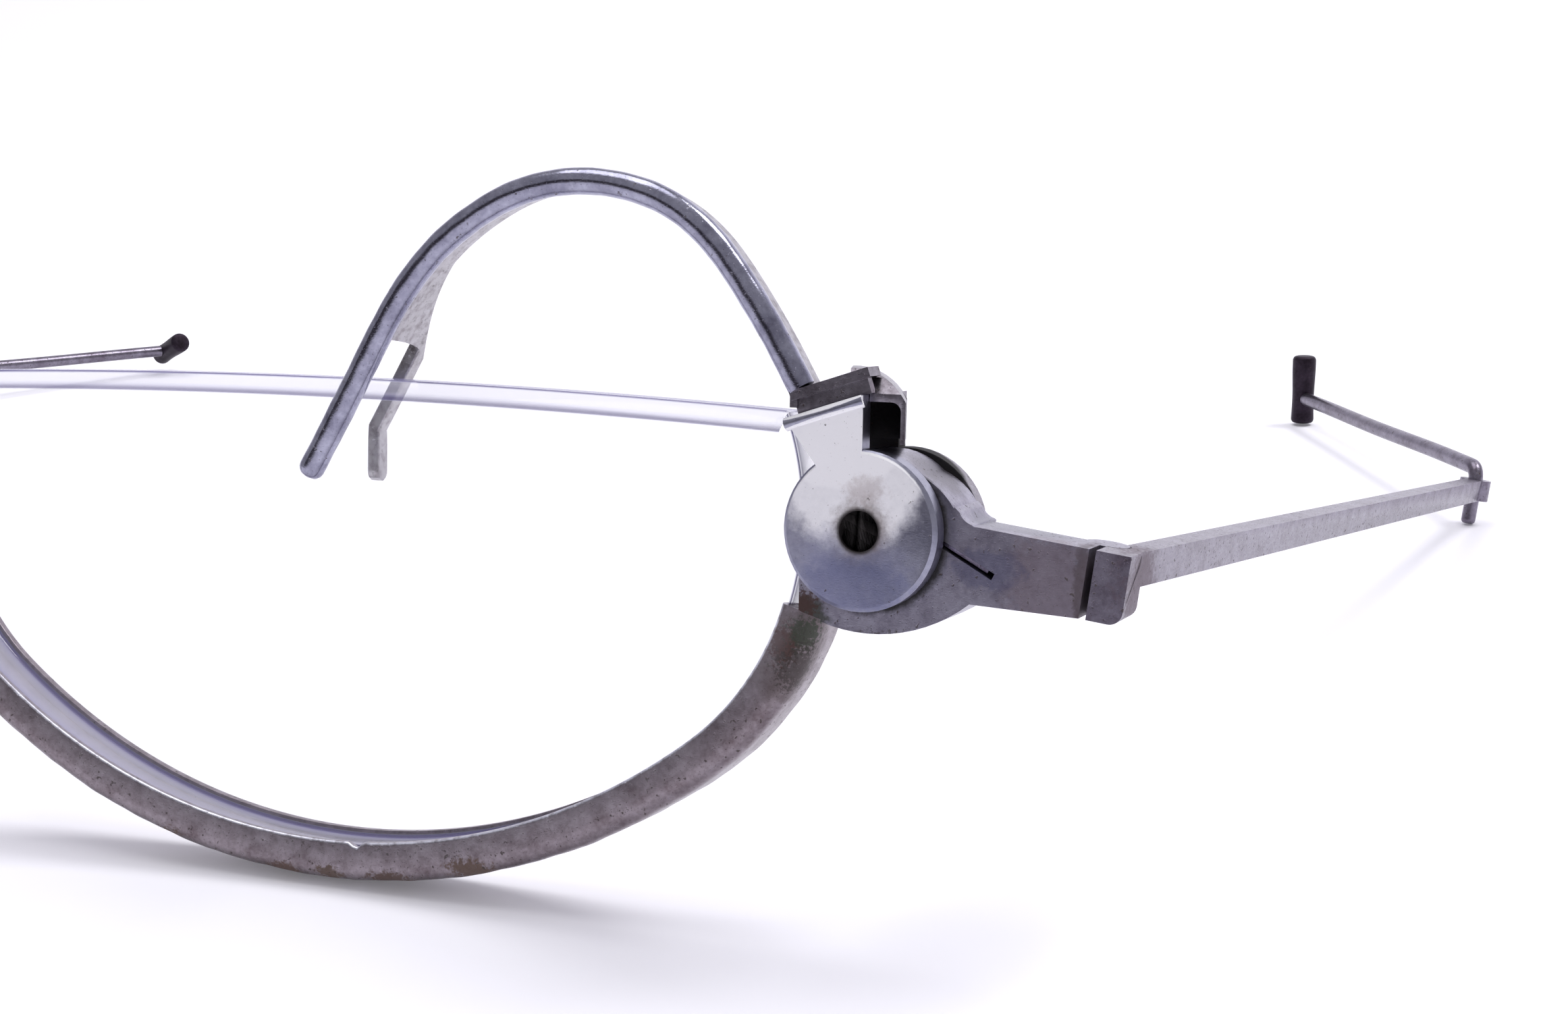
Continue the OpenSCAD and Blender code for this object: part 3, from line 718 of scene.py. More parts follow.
@dataclass
class Lens:
    """Half-eye lens with a bevel along the front of its top edge."""

    side: Side
    middle: float = -24.0
    half_width: float = 21.3
    drop: float = 14.8
    rise: float = 4.65
    end_r: float = 11.4
    top_r: float = 420.0
    thickness: float = 2.0
    bevel: float = 0.65
    centre_z: float = -4.0
    face_shares: tuple[float, ...] = (0.02, 0.4, 0.75)
    # Rings over the edge from front to back: way in from the outline, share of the bevel added to it,
    # face (-1 front, 1 back), depth below that face, depth added at the top edge, and the share of
    # painted highlight and painted dark lines on the glass edge.
    edge_rings: tuple[tuple[float, ...], ...] = (
        (0.18, 1.0, -1, 0.0, 0.0, 0.0),
        (0.12, 1.0, -1, 0.0, 0.0, 0.9),
        (0.07, 1.0, -1, 0.03, 0.0, 1.0),
        (0.12, 0.5, -1, 0.03, 0.24, 0.42),
        (0.096, 0.0, -1, 0.06, 0.46, 0.4),
        (0.024, 0.0, -1, 0.1, 0.5, 1.0),
        (0.0, 0.0, -1, 0.16, 0.5, 0.8),
        (0.0, 0.0, 1, 0.7, 0.0, 0.35),
        (0.0, 0.0, 1, 0.16, 0.0, 0.7),
        (0.036, 0.0, 1, 0.05, 0.0, 1.0),
        (0.12, 0.0, 1, 0.0, 0.0, 0.9),
        (0.18, 0.0, 1, 0.0, 0.0, 0.0),
    )

    @property
    def end_x(self) -> float:
        """Way from the lens's middle to the centre of an end's circle."""
        return self.half_width - self.end_r

    @property
    def low_r(self) -> float:
        """Radius of the lower circle, which touches both ends' circles and the lowest point."""
        squares = self.end_x * self.end_x + self.drop**2 - self.end_r**2
        return squares / (2 * (self.drop - self.end_r))

    @property
    def low_z(self) -> float:
        """Height of the lower circle's centre."""
        return self.low_r - self.drop

    def outline(self, count: int = 360) -> tuple[Array, Array]:
        """Closed outline of the lens in the front view.

        Each ray from the middle ends where it leaves an end's circle or, between the points where they
        touch, the lower circle. The top edge is an arc of a large circle.

        Args:
            count: number of points.

        Returns:
            count by 2 points, and count weights that are 1 on the top edge and else 0.
        """
        cx, corner = self.end_x, self.rise
        for _ in range(4):
            reach = cx + math.sqrt(self.end_r**2 - corner**2)
            corner = self.rise - self.top_r + math.sqrt(self.top_r**2 - reach**2)
        start = math.atan2(corner, reach)
        top_n = count // 3
        angle = np.linspace(start, -math.pi - start, count - top_n)
        ray = np.stack([np.cos(angle), np.sin(angle)], 1)

        def leave(centre: tuple[float, float], radius: float) -> Array:
            """Length at which each ray leaves the circle of this centre and radius."""
            along = ray @ np.array(centre)
            inside = along * along - (np.dot(centre, centre) - radius * radius)
            return along + np.sqrt(np.maximum(inside, 0))

        tangent = math.atan2(self.low_z, cx)
        joint_x = cx + self.end_r * math.cos(tangent)
        joint = math.atan2(-self.end_r * math.sin(tangent), joint_x)
        ends = np.where(ray[:, 0] > 0, leave((cx, 0), self.end_r), leave((-cx, 0), self.end_r))
        at_end = (angle > joint) | (angle < -math.pi - joint)
        lower = ray * np.where(at_end, ends, leave((0, self.low_z), self.low_r))[:, None]
        x = np.linspace(lower[-1, 0], lower[0, 0], top_n + 2)[1:-1]
        top = np.stack([x, self.rise - self.top_r + np.sqrt(self.top_r**2 - x**2)], 1)
        weight = np.concatenate([np.zeros(len(lower)), np.ones(len(top))])
        return np.vstack([lower, top]) + [self.middle, 0], weight

    def build(self) -> bpy.types.Object:
        """Rings from the middle of the front face, over the edge, to the middle of the back face.

        A face's rings are the outline drawn to the centre; the edge's are the outline pulled in along
        its normal, each at its own depth.

        Returns:
            The lens.
        """
        edge, top = self.outline()
        count = len(edge)
        half = self.thickness / 2
        step = np.roll(edge, -1, 0) - np.roll(edge, 1, 0)
        inward = np.stack([step[:, 1], -step[:, 0]], 1) / np.linalg.norm(step, axis=1, keepdims=True)
        centre = np.array([self.middle, self.centre_z])
        faces = [centre + (edge - centre) * share for share in self.face_shares]
        rings = [(flat, np.full(count, -half), 0.0) for flat in faces]
        for way_in, share, face, below, more, wear in self.edge_rings:
            pull = way_in + share * self.bevel * top
            depth = face * (half - below) + more * top
            rings.append((edge + inward * pull[:, None], depth, wear))
        rings += [(flat, np.full(count, half), 0.0) for flat in faces[::-1]]
        grid = np.stack([np.stack([flat[:, 0], y, flat[:, 1]], 1) for flat, y, _ in rings])
        surface = Surface()
        edge_lights = np.array([wear for _, _, wear in rings])
        surface.add_grid(grid, np.zeros((len(rings), count + 1, 2)), edge_lights[:, None], around=True)
        surface.add_cap(range(count))
        surface.add_cap(range((len(rings) - 1) * count, len(rings) * count))
        return surface.build(f"{self.side.word}_lens_glass", self.side, 20)


@dataclass
class HalfRim:
    """Half rim: the section round the lens's groove, carried along three arcs of its lower edge."""

    side: Side
    lens: Lens
    depth: float = 2.8
    wall: float = 1.4
    groove: float = 0.3
    end_drum: float = 16.0
    end_nose: float = 14.0
    gap: float = 0.03
    # Radius of each corner of the section, and the near-white along the first one, the front inner lip:
    # rubbed edge and painted highlight.
    radii: tuple[float, ...] = (0.13, 0.04, 0.03, 0.03, 0.04, 0.14, 0.5, 0.72)
    lip_wear: tuple[float, ...] = (0.1, 0.7, 1.0, 1.0, 0.9, 0.5, 0.15)
    # Waves of the outer face (height, turns along the rim in radians, start), and the dent in the lip
    # (place along the rim, half its length, depth).
    waves: tuple[Color, ...] = ((0.012, 61, 0), (0.01, 137, 1), (0.006, 301, 2))
    dent: Color = (0.412, 0.006, 0.28)

    def path(self, count: int = 260) -> tuple[Array, Array]:
        """Points along the lens's lower edge from the hub to the nose.

        Args:
            count: about how many.

        Returns:
            The points, and the outward direction at each.
        """
        lens = self.lens
        tangent = math.degrees(math.atan2(lens.low_z, lens.end_x))
        arcs = (
            ((lens.end_x, 0.0), lens.end_r, -self.end_drum, -tangent),
            ((0.0, lens.low_z), lens.low_r, -tangent, tangent - 180),
            ((-lens.end_x, 0.0), lens.end_r, tangent - 180, -180 - self.end_nose),
        )
        lengths = np.array([r * abs(b - a) for _, r, a, b in arcs])
        points, outward = [], []
        for k, ((x, z), r, a, b) in enumerate(arcs):
            n = max(8, int(count * lengths[k] / lengths.sum()))
            t = np.radians(np.linspace(a, b, n + 1)[min(k, 1):])
            out = np.stack([np.cos(t), np.zeros(len(t)), np.sin(t)], 1)
            points.append(np.array([x + lens.middle, 0, z]) + r * out)
            outward.append(out)
        return np.vstack(points), np.vstack(outward)

    def build(self) -> bpy.types.Object:
        """Carries the section along the path; small slow waves come from a sum of sines."""
        path, out = self.path()
        half = self.depth / 2
        slot = self.lens.thickness / 2 + self.gap
        profile = rounded_profile(np.array([
            [-self.groove, 0.1 - half], [-self.groove, -slot], [self.gap, -slot], [self.gap, slot],
            [-self.groove, slot], [-self.groove, half], [self.wall, half], [self.wall, -half],
        ]), np.array(self.radii), len(self.lip_wear))
        wear = np.zeros(len(profile))
        wear[: 2 * len(self.lip_wear)] = 0.2
        wear[: len(self.lip_wear)] = self.lip_wear
        run = np.linspace(0, 1, len(path))
        wave = sum(high * np.sin(run * turns + start) for high, turns, start in self.waves)
        shape = np.broadcast_to(profile, (len(path), *profile.shape)).copy()
        shape[..., 0] += wave[:, None] * (profile[:, 0] > 0.2)
        place, reach, deep = self.dent
        flat = np.clip(1 - np.abs(run - place) / reach, 0, 1) * deep
        shape[..., 0] += flat[:, None] * ((profile[:, 0] < 0) & (profile[:, 1] < 0))
        surface = Surface().add_tube(path, out, BACK, shape, wear=wear)
        return surface.build(f"{self.side.word}_rim_metal", self.side, 40)


@dataclass
class Arch:
    """Arch of round wire with a flat strip soldered behind it, forked over the lens."""

    side: Side
    top: float = 12.584
    out: float = 12.244
    crown_r: float = 8.25
    crown_half: float = 48.8
    shoulder_r: float = 28.06
    lean: float = 31.5
    # Offsets along the normal that hand work left, each at its X.
    sags: tuple[tuple[float, float], ...] = (
        (-24.4, -0.4), (-22.5, -0.3), (-20.8, -0.17), (-19.5, 0.0), (-18.0, -0.13), (-16.8, -0.2),
        (-14.6, -0.08), (-12.5, 0.03), (-10.3, 0.16), (-8.2, 0.33), (-6.1, 0.3), (-4.4, 0.18),
        (-2.4, 0.1), (0.0, 0.05),
    )
    wire_r: float = 0.52
    strip_t: float = 0.56
    strip_corner: float = 0.1
    front_y: float = -1.46
    foot_z: float = 5.06
    foot_depth: float = 0.9
    fork_depth: float = 3.4
    deepen_z: float = 9.6
    deepen_run: float = 4.0
    fork_z: float = 6.4
    fork_run: float = 0.4
    front_end: float = 0.85
    rear_end: float = 0.3
    bend_z: float = 2.7
    lens_back: float = 1.2

    def path(self, end_z: float, spacing: float = 0.14) -> tuple[Array, Array]:
        """Middle line from the foot over the crown to the far end.

        A crown, a shoulder of larger radius on each side and two straight legs meet tangentially; the
        whole is then bent by the sags.

        Args:
            end_z: height of the far end.
            spacing: about the way between points.

        Returns:
            The points, and the outward direction at each.
        """
        crown = math.radians(self.crown_half)
        leg = math.radians(90 - self.lean)
        top_x, top_z = -self.out, self.top - self.crown_r
        a = np.arange(0, crown, spacing / self.crown_r)
        b = np.arange(crown, leg, spacing / self.shoulder_r)
        turn_x = top_x + (self.crown_r - self.shoulder_r) * math.sin(crown)
        turn_z = top_z + (self.crown_r - self.shoulder_r) * math.cos(crown)
        crown_part = np.stack([top_x + self.crown_r * np.sin(a), top_z + self.crown_r * np.cos(a), a])
        shoulder = np.stack(
            [turn_x + self.shoulder_r * np.sin(b), turn_z + self.shoulder_r * np.cos(b), b]
        )
        leg_x = turn_x + self.shoulder_r * math.sin(leg)
        leg_z = turn_z + self.shoulder_r * math.cos(leg)

        def limb(low_z: float) -> Array:
            """Half of the arch, from the top down to a height: rows of x, z and the normal's angle."""
            count = max(6, int((leg_z - low_z) / math.sin(leg) / spacing))
            z = np.linspace(leg_z, low_z, count)
            x = leg_x + (leg_z - z) * math.tan(math.radians(self.lean))
            return np.hstack([crown_part, shoulder, np.stack([x, z, np.full(count, leg)])])

        drum, nose = limb(self.foot_z), limb(end_z)
        x = np.concatenate([drum[0, ::-1], 2 * top_x - nose[0, 1:]])
        z = np.concatenate([drum[1, ::-1], nose[1, 1:]])
        angle = np.concatenate([drum[2, ::-1], -nose[2, 1:]])
        normal = np.stack([np.sin(angle), np.cos(angle)], 1)
        at, sag = np.array(self.sags).T
        knots = np.linspace(at[0], at[-1], 240)
        sag = np.pad(np.interp(knots, at, sag), 9, mode="edge")
        soft = np.convolve(sag, np.ones(19) / 19, mode="valid")
        flat = np.stack([x, z], 1) + normal * np.interp(x, knots, soft)[:, None]
        zero = np.zeros(len(flat))
        points = np.stack([flat[:, 0], zero, flat[:, 1]], 1)
        return points, np.stack([normal[:, 0], zero, normal[:, 1]], 1)

    def build_wire(self) -> bpy.types.Object:
        """Round wire along the path, with a rounded tip: the radius falls as a quarter circle."""
        path, out = self.path(self.front_end)
        path[:, 1] = self.front_y - self.wire_r
        run = way_along(path)
        left = run[-1] - run
        scale = np.sqrt(np.clip(1 - np.clip(1 - left / 0.42, 0, 1) ** 2, 0.02, 1))
        scale *= 1 + 0.01 * np.sin(run * 2.1) + 0.008 * np.sin(run * 5.3)
        surface = Surface().add_tube(path, out, -BACK, circle_profile(self.wire_r, 48), scale)
        return surface.build(f"{self.side.word}_arch_bead", self.side, 50)

    def build_strip(self) -> bpy.types.Object:
        """Flat strip behind the wire: its back edge deepens down the far limb to the fork.

        Past the fork it carries on behind the lens only, as the rear prong, which bends upright and
        ends in a quarter circle on each side.

        Returns:
            The strip.
        """
        path, out = self.path(self.bend_z)
        x, z = path[:, 0], path[:, 2]
        far = x < -self.out
        fall = np.where(far, np.clip((self.deepen_z - z) / self.deepen_run, 0, 1), 0.0)
        back = self.front_y + self.foot_depth + 0.3 * np.clip((-4 - x) / 14.0, 0, 1)
        back = back + (self.front_y + self.fork_depth - back) * (0.8 * fall + 0.2 * fall**2)
        drop = np.where(far, np.clip((self.fork_z - z) / self.fork_run, 0, 1), 0.0)
        front = self.front_y + (self.lens_back - self.front_y) * np.sqrt(drop)

        tail_z = np.linspace(self.bend_z - 0.25, self.rear_end, 16)
        zero = np.zeros(len(tail_z))
        lean = np.radians(self.lean) * (1 - np.clip(self.bend_z - tail_z, 0, 1))
        path = np.vstack([path, np.stack([zero + x[-1], zero, tail_z], 1)])
        out = np.vstack([out, np.stack([-np.cos(lean), zero, np.sin(lean)], 1)])
        near_end = np.clip(1 - (tail_z - self.rear_end) / 0.4, 0, 1)
        wide = (back[-1] - self.lens_back) / 2 * np.sqrt(np.clip(1 - near_end**2, 0.01, 1))
        mid = (self.lens_back + back[-1]) / 2
        front = np.concatenate([front, mid - wide])
        back = np.concatenate([back, mid + wide])

        half, tall = self.strip_t / 2, 10.0
        box = np.array([[-half, 0.0], [half, 0.0], [half, tall], [-half, tall]])
        u, v = rounded_profile(box, self.strip_corner, 5).T
        behind = v > tall / 2
        reach = 2 * self.strip_corner
        inner = np.where(behind, -np.clip(tall - v, 0, reach), np.clip(v, 0, reach))
        depth = (back - front)[:, None]
        inner = np.sign(inner) * np.minimum(np.abs(inner), depth * 0.4)
        shape = np.stack([np.broadcast_to(u, inner.shape), front[:, None] + depth * behind + inner], -1)
        surface = Surface().add_tube(path, out, BACK, shape, wear=np.full(len(u), 0.35))
        return surface.build(f"{self.side.word}_arch_band", self.side, 40)


@dataclass
class RearArm:
    """Wire arm whose front end bends down through the eye as the turn pin."""

    side: Side
    wire_r: float = 0.5
    pin_r: float = 0.44
    pin_low: float = 2.2
    length: float = 32.0
    ease_from: float = 2.8
    ease_run: float = 1.5

    def build(self) -> bpy.types.Object:
        """Circle carried up the pin, round a bend and along the arm.

        Its radius eases linearly from the pin's to the wire's, and slow sines make the arm uneven.

        Returns:
            The arm.
        """
        s = STANCE
        rise = math.radians(s.arm_rise)
        bend_z = s.arm_height - s.bend
        pin_z = np.linspace(-self.pin_low, bend_z, 26)[:-1]
        a = np.linspace(0, math.pi / 2 - rise, 24)
        y = np.linspace(0.2, self.length - s.bend - 0.8, 120)
        path = np.vstack([
            np.stack([0 * pin_z, 0 * pin_z, pin_z], 1),
            np.stack([0 * a, s.bend * (1 - np.cos(a)), bend_z + s.bend * np.sin(a)], 1),
            s.from_wire(np.stack([0.03 * np.sin(y * 0.35), y, 0.03 * np.sin(y * 0.27)], 1)),
        ])
        step = np.gradient(path, axis=0)
        step /= np.linalg.norm(step, axis=1, keepdims=True)
        run = way_along(path)
        eased = np.clip((run - self.ease_from) / self.ease_run, 0, 1)
        radius = self.pin_r + (self.wire_r - self.pin_r) * eased
        radius = radius * np.sqrt(np.clip(1 - np.clip(1 - run / 0.2, 0, 1) ** 2 * 0.5, 0.1, 1))
        up = np.cross(RIGHT, step)
        surface = Surface().add_tube(path, RIGHT, up, circle_profile(1.0, 28), radius)
        surface.points = STANCE.from_pin(surface.points)
        return surface.build(f"{self.side.word}_arm_wire", self.side, 50)


@dataclass
class Tip:
    """Crosswise tip: a blunt rod, a little waisted, that turns on the end of the arm."""

    side: Side
    turned: float
    radius: float = 0.85
    length: float = 5.2
    low: float = 1.9
    reach: float = 31.1
    round_z: float = 0.35
    round_r: float = 0.3
    waist: float = 0.04

    def build(self) -> bpy.types.Object:
        """Turned outline: a rounded end, then a shallow waist as a cosine of the height.

        Returns:
            The tip.
        """
        high = self.length - self.round_z
        z = np.concatenate([
            np.linspace(0, self.round_z, 9),
            np.linspace(self.round_z, high, 40)[1:-1],
            np.linspace(high, self.length, 9),
        ])
        near = np.clip(np.minimum(z, self.length - z) / self.round_z, 0, 1)
        r = (self.radius - self.round_r) + self.round_r * np.sqrt(np.clip(1 - (1 - near) ** 2, 0, 1))
        r *= 1 - self.waist * np.cos(2 * math.pi * (z - self.low) / self.length)
        path = np.stack([0 * z, 0 * z, z - self.low], 1)
        surface = Surface().add_tube(path, RIGHT, BACK, circle_profile(1.0, 40), r)
        spun = surface.points @ turn("y", self.turned).T + [0, self.reach, 0]
        surface.points = STANCE.from_pin(STANCE.from_wire(spun))
        return surface.build(f"{self.side.word}_tip_rod", self.side, 50)


@dataclass
class Studio:
    """Camera at the photograph's angle, pale paper, soft lights and a dark card to reflect.

    The camera's place and angles are in the upright front, in millimetres and degrees, and its focal
    length is in pixels of the photograph. The lights are name, place, size in metres and watts.
    """

    eye: tuple[float, float, float] = (28.594, -81.347, 9.148)
    azimuth: float = 21.8163
    down: float = 5.6687
    roll: float = 1.4315
    focal: float = 3500.0
    photo_wide: float = 2381
    sensor: float = 36
    sky: tuple[float, ...] = (0.95, 0.94, 1.0, 1)
    sky_strength: float = 0.48
    aim: tuple[float, float, float] = (0.04, -0.02, 0.0)
    boxes: tuple[tuple[str, Color, float, float], ...] = (
        ("soft_box_key", (0.34, 0.22, 0.62), 0.3, 2.3),
        ("soft_box_top", (-0.15, 0.05, 0.8), 0.6, 2.3),
    )

    def camera(self) -> None:
        """Places the camera, fixed to the leaning front: its axes come from azimuth, pitch and roll."""
        a, e, r = (math.radians(v) for v in (self.azimuth, self.down, self.roll))
        forward = np.array((-math.sin(a) * math.cos(e), math.cos(a) * math.cos(e), -math.sin(e)))
        right = np.array((math.cos(a), math.sin(a), 0.0))
        up = np.cross(right, forward)
        x = right * math.cos(r) + up * math.sin(r)
        y = -right * math.sin(r) + up * math.cos(r)
        axes = turn("x", -STANCE.lean) @ np.stack([x, y, -forward]).T
        data = bpy.data.cameras.new("camera")
        data.sensor_width = self.sensor
        data.lens = self.focal / self.photo_wide * self.sensor
        data.clip_start, data.clip_end = 0.005, 5
        obj = bpy.data.objects.new("camera", data)
        place = Vector(STANCE.on_table(np.array([self.eye]), Side.RIGHT)[0])
        obj.matrix_world = Matrix.Translation(place) @ Matrix(axes.tolist()).to_4x4()
        bpy.context.collection.objects.link(obj)
        bpy.context.scene.camera = obj

    def stand(self, name: str, grid: Array, material: bpy.types.Material) -> bpy.types.Object:
        """Stands a sheet in the studio.

        Args:
            name: its name.
            grid: M by N by 3 points in metres.
            material: its material.

        Returns:
            The sheet.
        """
        surface = Surface()
        surface.add_grid(grid, np.zeros((*grid.shape[:2], 2)))
        obj = surface.build(name, None, 60)
        obj.data.materials.append(material)
        return obj

    def paper(self) -> None:
        """Floor that curves up behind: height is a quarter circle of the way past its start."""
        start, radius, steep = 0.16, 0.4, 3
        x, y = np.linspace(-1.8, 1.8, 30), np.linspace(-1.2, 0.75, 90)
        past = np.clip(y - start, 0, radius)
        z = radius - np.sqrt(np.maximum(radius**2 - past**2, 0))
        z = z + np.clip(y - start - radius, 0, None) * steep
        gx, gy = np.meshgrid(x, y, indexing="ij")
        self.stand("paper", np.stack([gx, gy, np.broadcast_to(z, gx.shape)], -1), Sweep().material())

    def card(self) -> None:
        """Dark card behind the camera, which doesn't see it: an upright part of a cylinder."""
        centre_x, centre_y, radius = 0.05, -0.08, 0.5
        angle = np.radians(np.linspace(-62, 30, 24))
        ga, gz = np.meshgrid(angle, np.linspace(0.03, 0.21, 6), indexing="ij")
        gx, gy = centre_x + radius * np.sin(ga), centre_y - radius * np.cos(ga)
        obj = self.stand("dark_card", np.stack([gx, gy, gz], -1), Felt().material())
        obj.visible_camera = False

    def lights(self) -> None:
        """A bright sky of one colour, a soft box at the back right, and a wide one overhead."""
        world = bpy.data.worlds.new("studio")
        world.use_nodes = True
        background = world.node_tree.nodes["Background"]
        background.inputs["Color"].default_value = self.sky
        background.inputs["Strength"].default_value = self.sky_strength
        bpy.context.scene.world = world
        bpy.context.scene.view_settings.view_transform = "Standard"
        for name, place, size, power in self.boxes:
            data = bpy.data.lights.new(name, "AREA")
            data.shape = "DISK"
            data.size = size
            data.energy = power
            obj = bpy.data.objects.new(name, data)
            obj.location = place
            aim = Vector(self.aim) - Vector(place)
            obj.rotation_mode = "QUATERNION"
            obj.rotation_quaternion = aim.to_track_quat("-Z", "Y")
            bpy.context.collection.objects.link(obj)


def rust(x: float, z: float, wide: float, high: float, colour: Color) -> Patch:
    """A ragged brown spot on the front of the rim."""
    return Patch((x, -1.4, z), (wide, 1.2, high), colour, ragged=1.1, grain=4.5)


@dataclass(frozen=True)
class Palette:
    """The finishes of one side."""

    rim: WornMetal = WornMetal(
        "worn_rim", (0.34, 0.30, 0.33), (0.13, 0.10, 0.11), pits=0.8, edge=(0.85, 0.85, 0.95),
        patches=(
            Patch((-2.6, -1.4, -5.2), (2.6, 1.6, 2.6), (0.10, 0.075, 0.075), ragged=0.5, amount=0.7),
            Patch((-3.3, -1.5, -4.6), (0.75, 0.8, 1.0), (0.06, 0.022, 0.016), ragged=1.5, grain=7.0),
            Patch((-2.4, -1.5, -4.2), (0.9, 0.9, 0.8), (0.035, 0.045, 0.028), ragged=1.5, grain=6.0),
            Patch((-2.5, -1.3, -5.6), (1.3, 0.9, 1.2), (0.03, 0.022, 0.02), ragged=1.6, grain=6.0,
                  amount=0.8),
            rust(-44.9, -6.0, 0.9, 0.5, (0.10, 0.06, 0.04)),
            rust(-31.5, -15.4, 0.9, 0.7, (0.10, 0.055, 0.035)),
            rust(-25.7, -16.0, 1.0, 0.4, (0.09, 0.045, 0.03)),
            rust(-23.4, -15.9, 0.7, 0.4, (0.10, 0.06, 0.04)),
            rust(-20.4, -15.9, 1.3, 0.5, (0.09, 0.05, 0.035)),
            rust(-16.6, -15.0, 1.3, 0.6, (0.11, 0.065, 0.045)),
        ),
    )
    hub: WornMetal = WornMetal(
        "worn_hub", (0.36, 0.345, 0.42), (0.16, 0.145, 0.19), contrast=0.45, pits=0.7,
        edge=(0.6, 0.6, 0.68),
        patches=(
            Patch((6.9, -1.4, -1.6), (1.9, 3.0, 2.4), (0.20, 0.15, 0.17), ragged=0.6, rough=0.4,
                  metal=0.7, amount=0.6),
            Patch((4.6, -1.6, -1.2), (1.6, 1.2, 0.9), (0.12, 0.12, 0.20), ragged=0.7, rough=0.35,
                  metal=0.8, amount=0.7),
            # Painted shadow: a near-black crescent on the hub round the front cheek's edge, in the gap
            # between them.
            Patch((0.05, -1.45, -0.1), (3.28, 0.9, 3.28), (0.012, 0.01, 0.012), ragged=0.07, soft=0.12,
                  rough=0.8, metal=0.0),
            Patch((-2.6, -1.2, -3.4), (1.3, 1.5, 0.9), (0.03, 0.035, 0.022), ragged=0.6),
            Patch((-2.5, -1.2, -3.0), (0.7, 1.0, 0.7), (0.05, 0.018, 0.014), ragged=1.5, grain=7.0),
            # Painted shade: the next two darken the up-facing top of the hub and the top of the endpiece.
            Patch((2.4, 0.2, 2.5), (1.9, 1.9, 1.7), (0.13, 0.12, 0.145), soft=0.5, rough=0.3, metal=0.95),
            Patch((5.6, 0.2, 0.35), (4.6, 1.4, 0.75), (0.15, 0.145, 0.19), soft=0.5, rough=0.28,
                  metal=0.95),
            Patch((1.2, -1.2, -4.2), (2.6, 0.9, 0.5), (0.05, 0.04, 0.036), ragged=1.3, grain=5.0,
                  amount=0.8),
            Patch((8.15, -1.0, -1.6), (0.4, 2.6, 2.2), (0.06, 0.04, 0.045), ragged=0.5, grain=3.0,
                  amount=0.8),
        ),
    )
    cheek: WornMetal = WornMetal(
        "bright_cheek", (0.34, 0.34, 0.42), (0.20, 0.20, 0.27), contrast=0.4, pits=0.25,
        rough_low=0.26, edge=(0.6, 0.6, 0.7),
        patches=(
            # Painted reflection: the upper half of the front cheek and its tab painted near-white and not
            # metallic, as the bright sky it mirrors.
            Patch((-0.35, -2.55, 1.95), (3.15, 0.12, 3.1), (0.98, 0.97, 1.0), ragged=0.2, soft=0.3,
                  grain=1.3, metal=0.0),
            Patch((-0.9, -2.55, 3.4), (2.6, 0.12, 2.0), (0.98, 0.97, 1.0), ragged=0.06, soft=0.1,
                  metal=0.0),
            # Painted reflection: the lower half of the front cheek painted blue-grey, darker towards the
            # bottom.
            Patch((-0.2, -2.55, -1.0), (2.7, 0.3, 1.5), (0.30, 0.31, 0.46), ragged=0.55, soft=0.6,
                  grain=1.2, rough=0.3, metal=0.8, amount=0.6),
            Patch((-0.2, -2.55, -2.1), (3.0, 0.4, 1.5), (0.14, 0.15, 0.27), ragged=0.5, soft=0.5,
                  grain=1.5, rough=0.3, metal=0.9, amount=0.7),
            Patch((0.1, -2.55, 0.1), (1.45, 1.0, 1.5), (0.16, 0.115, 0.10), ragged=0.4, soft=0.7,
                  grain=2.4, amount=0.9),
            Patch((0.2, -2.55, 1.5), (1.1, 1.0, 0.7), (0.35, 0.26, 0.24), ragged=0.7, soft=0.7,
                  grain=3.0, amount=0.5),
            # Painted shade: near-black over the screw's recess.
            Patch((0.0, -2.55, 0.0), (0.95, 0.9, 0.95), (0.02, 0.015, 0.015), ragged=0.05, soft=0.2),
        ),
    )
    dark: WornMetal = WornMetal(
        "tarnished_fold", (0.30, 0.28, 0.32), (0.10, 0.085, 0.10), contrast=0.48, pits=0.7,
        edge=(0.55, 0.55, 0.62),
        patches=(
            # Painted shade: near-black inside the window between the cheeks, behind the tab.
            Patch((-0.6, 0.9, 2.6), (4.6, 1.75, 2.6), (0.012, 0.01, 0.012), ragged=0.05, soft=0.15,
                  rough=0.8, metal=0.0),
            # Painted shade: dark in the slot under the ledge.
            Patch((-1.9, -0.2, 4.75), (2.2, 1.9, 0.62), (0.03, 0.02, 0.018), ragged=0.35, soft=0.3,
                  rough=0.6, metal=0.1),
            # Darker over the lower part of the back cheek.
            Patch((0.0, 1.4, -2.4), (3.6, 0.6, 2.6), (0.05, 0.04, 0.045), ragged=0.2, soft=0.3),
        ),
    )
    bead: WornMetal = WornMetal(
        "polished_bead", (0.40, 0.40, 0.50), (0.16, 0.155, 0.22), contrast=0.45, pits=0.5,
        rough_low=0.1, rough_high=0.22,
    )
    band: WornMetal = WornMetal("brown_band", (0.22, 0.195, 0.215), (0.09, 0.068, 0.07), pits=0.9)
    bar: WornMetal = WornMetal(
        "worn_bar", (0.27, 0.25, 0.31), (0.11, 0.09, 0.12), contrast=0.45, pits=0.8,
        edge=(0.7, 0.7, 0.8), grain=(3.0, 0.3, 1.0),
        patches=(
            Patch((9.6, 0.5, -1.6), (1.1, 2.4, 2.2), (0.10, 0.065, 0.085), ragged=0.6, soft=0.5,
                  grain=3.5, metal=0.4, amount=0.85),
        ),
    )
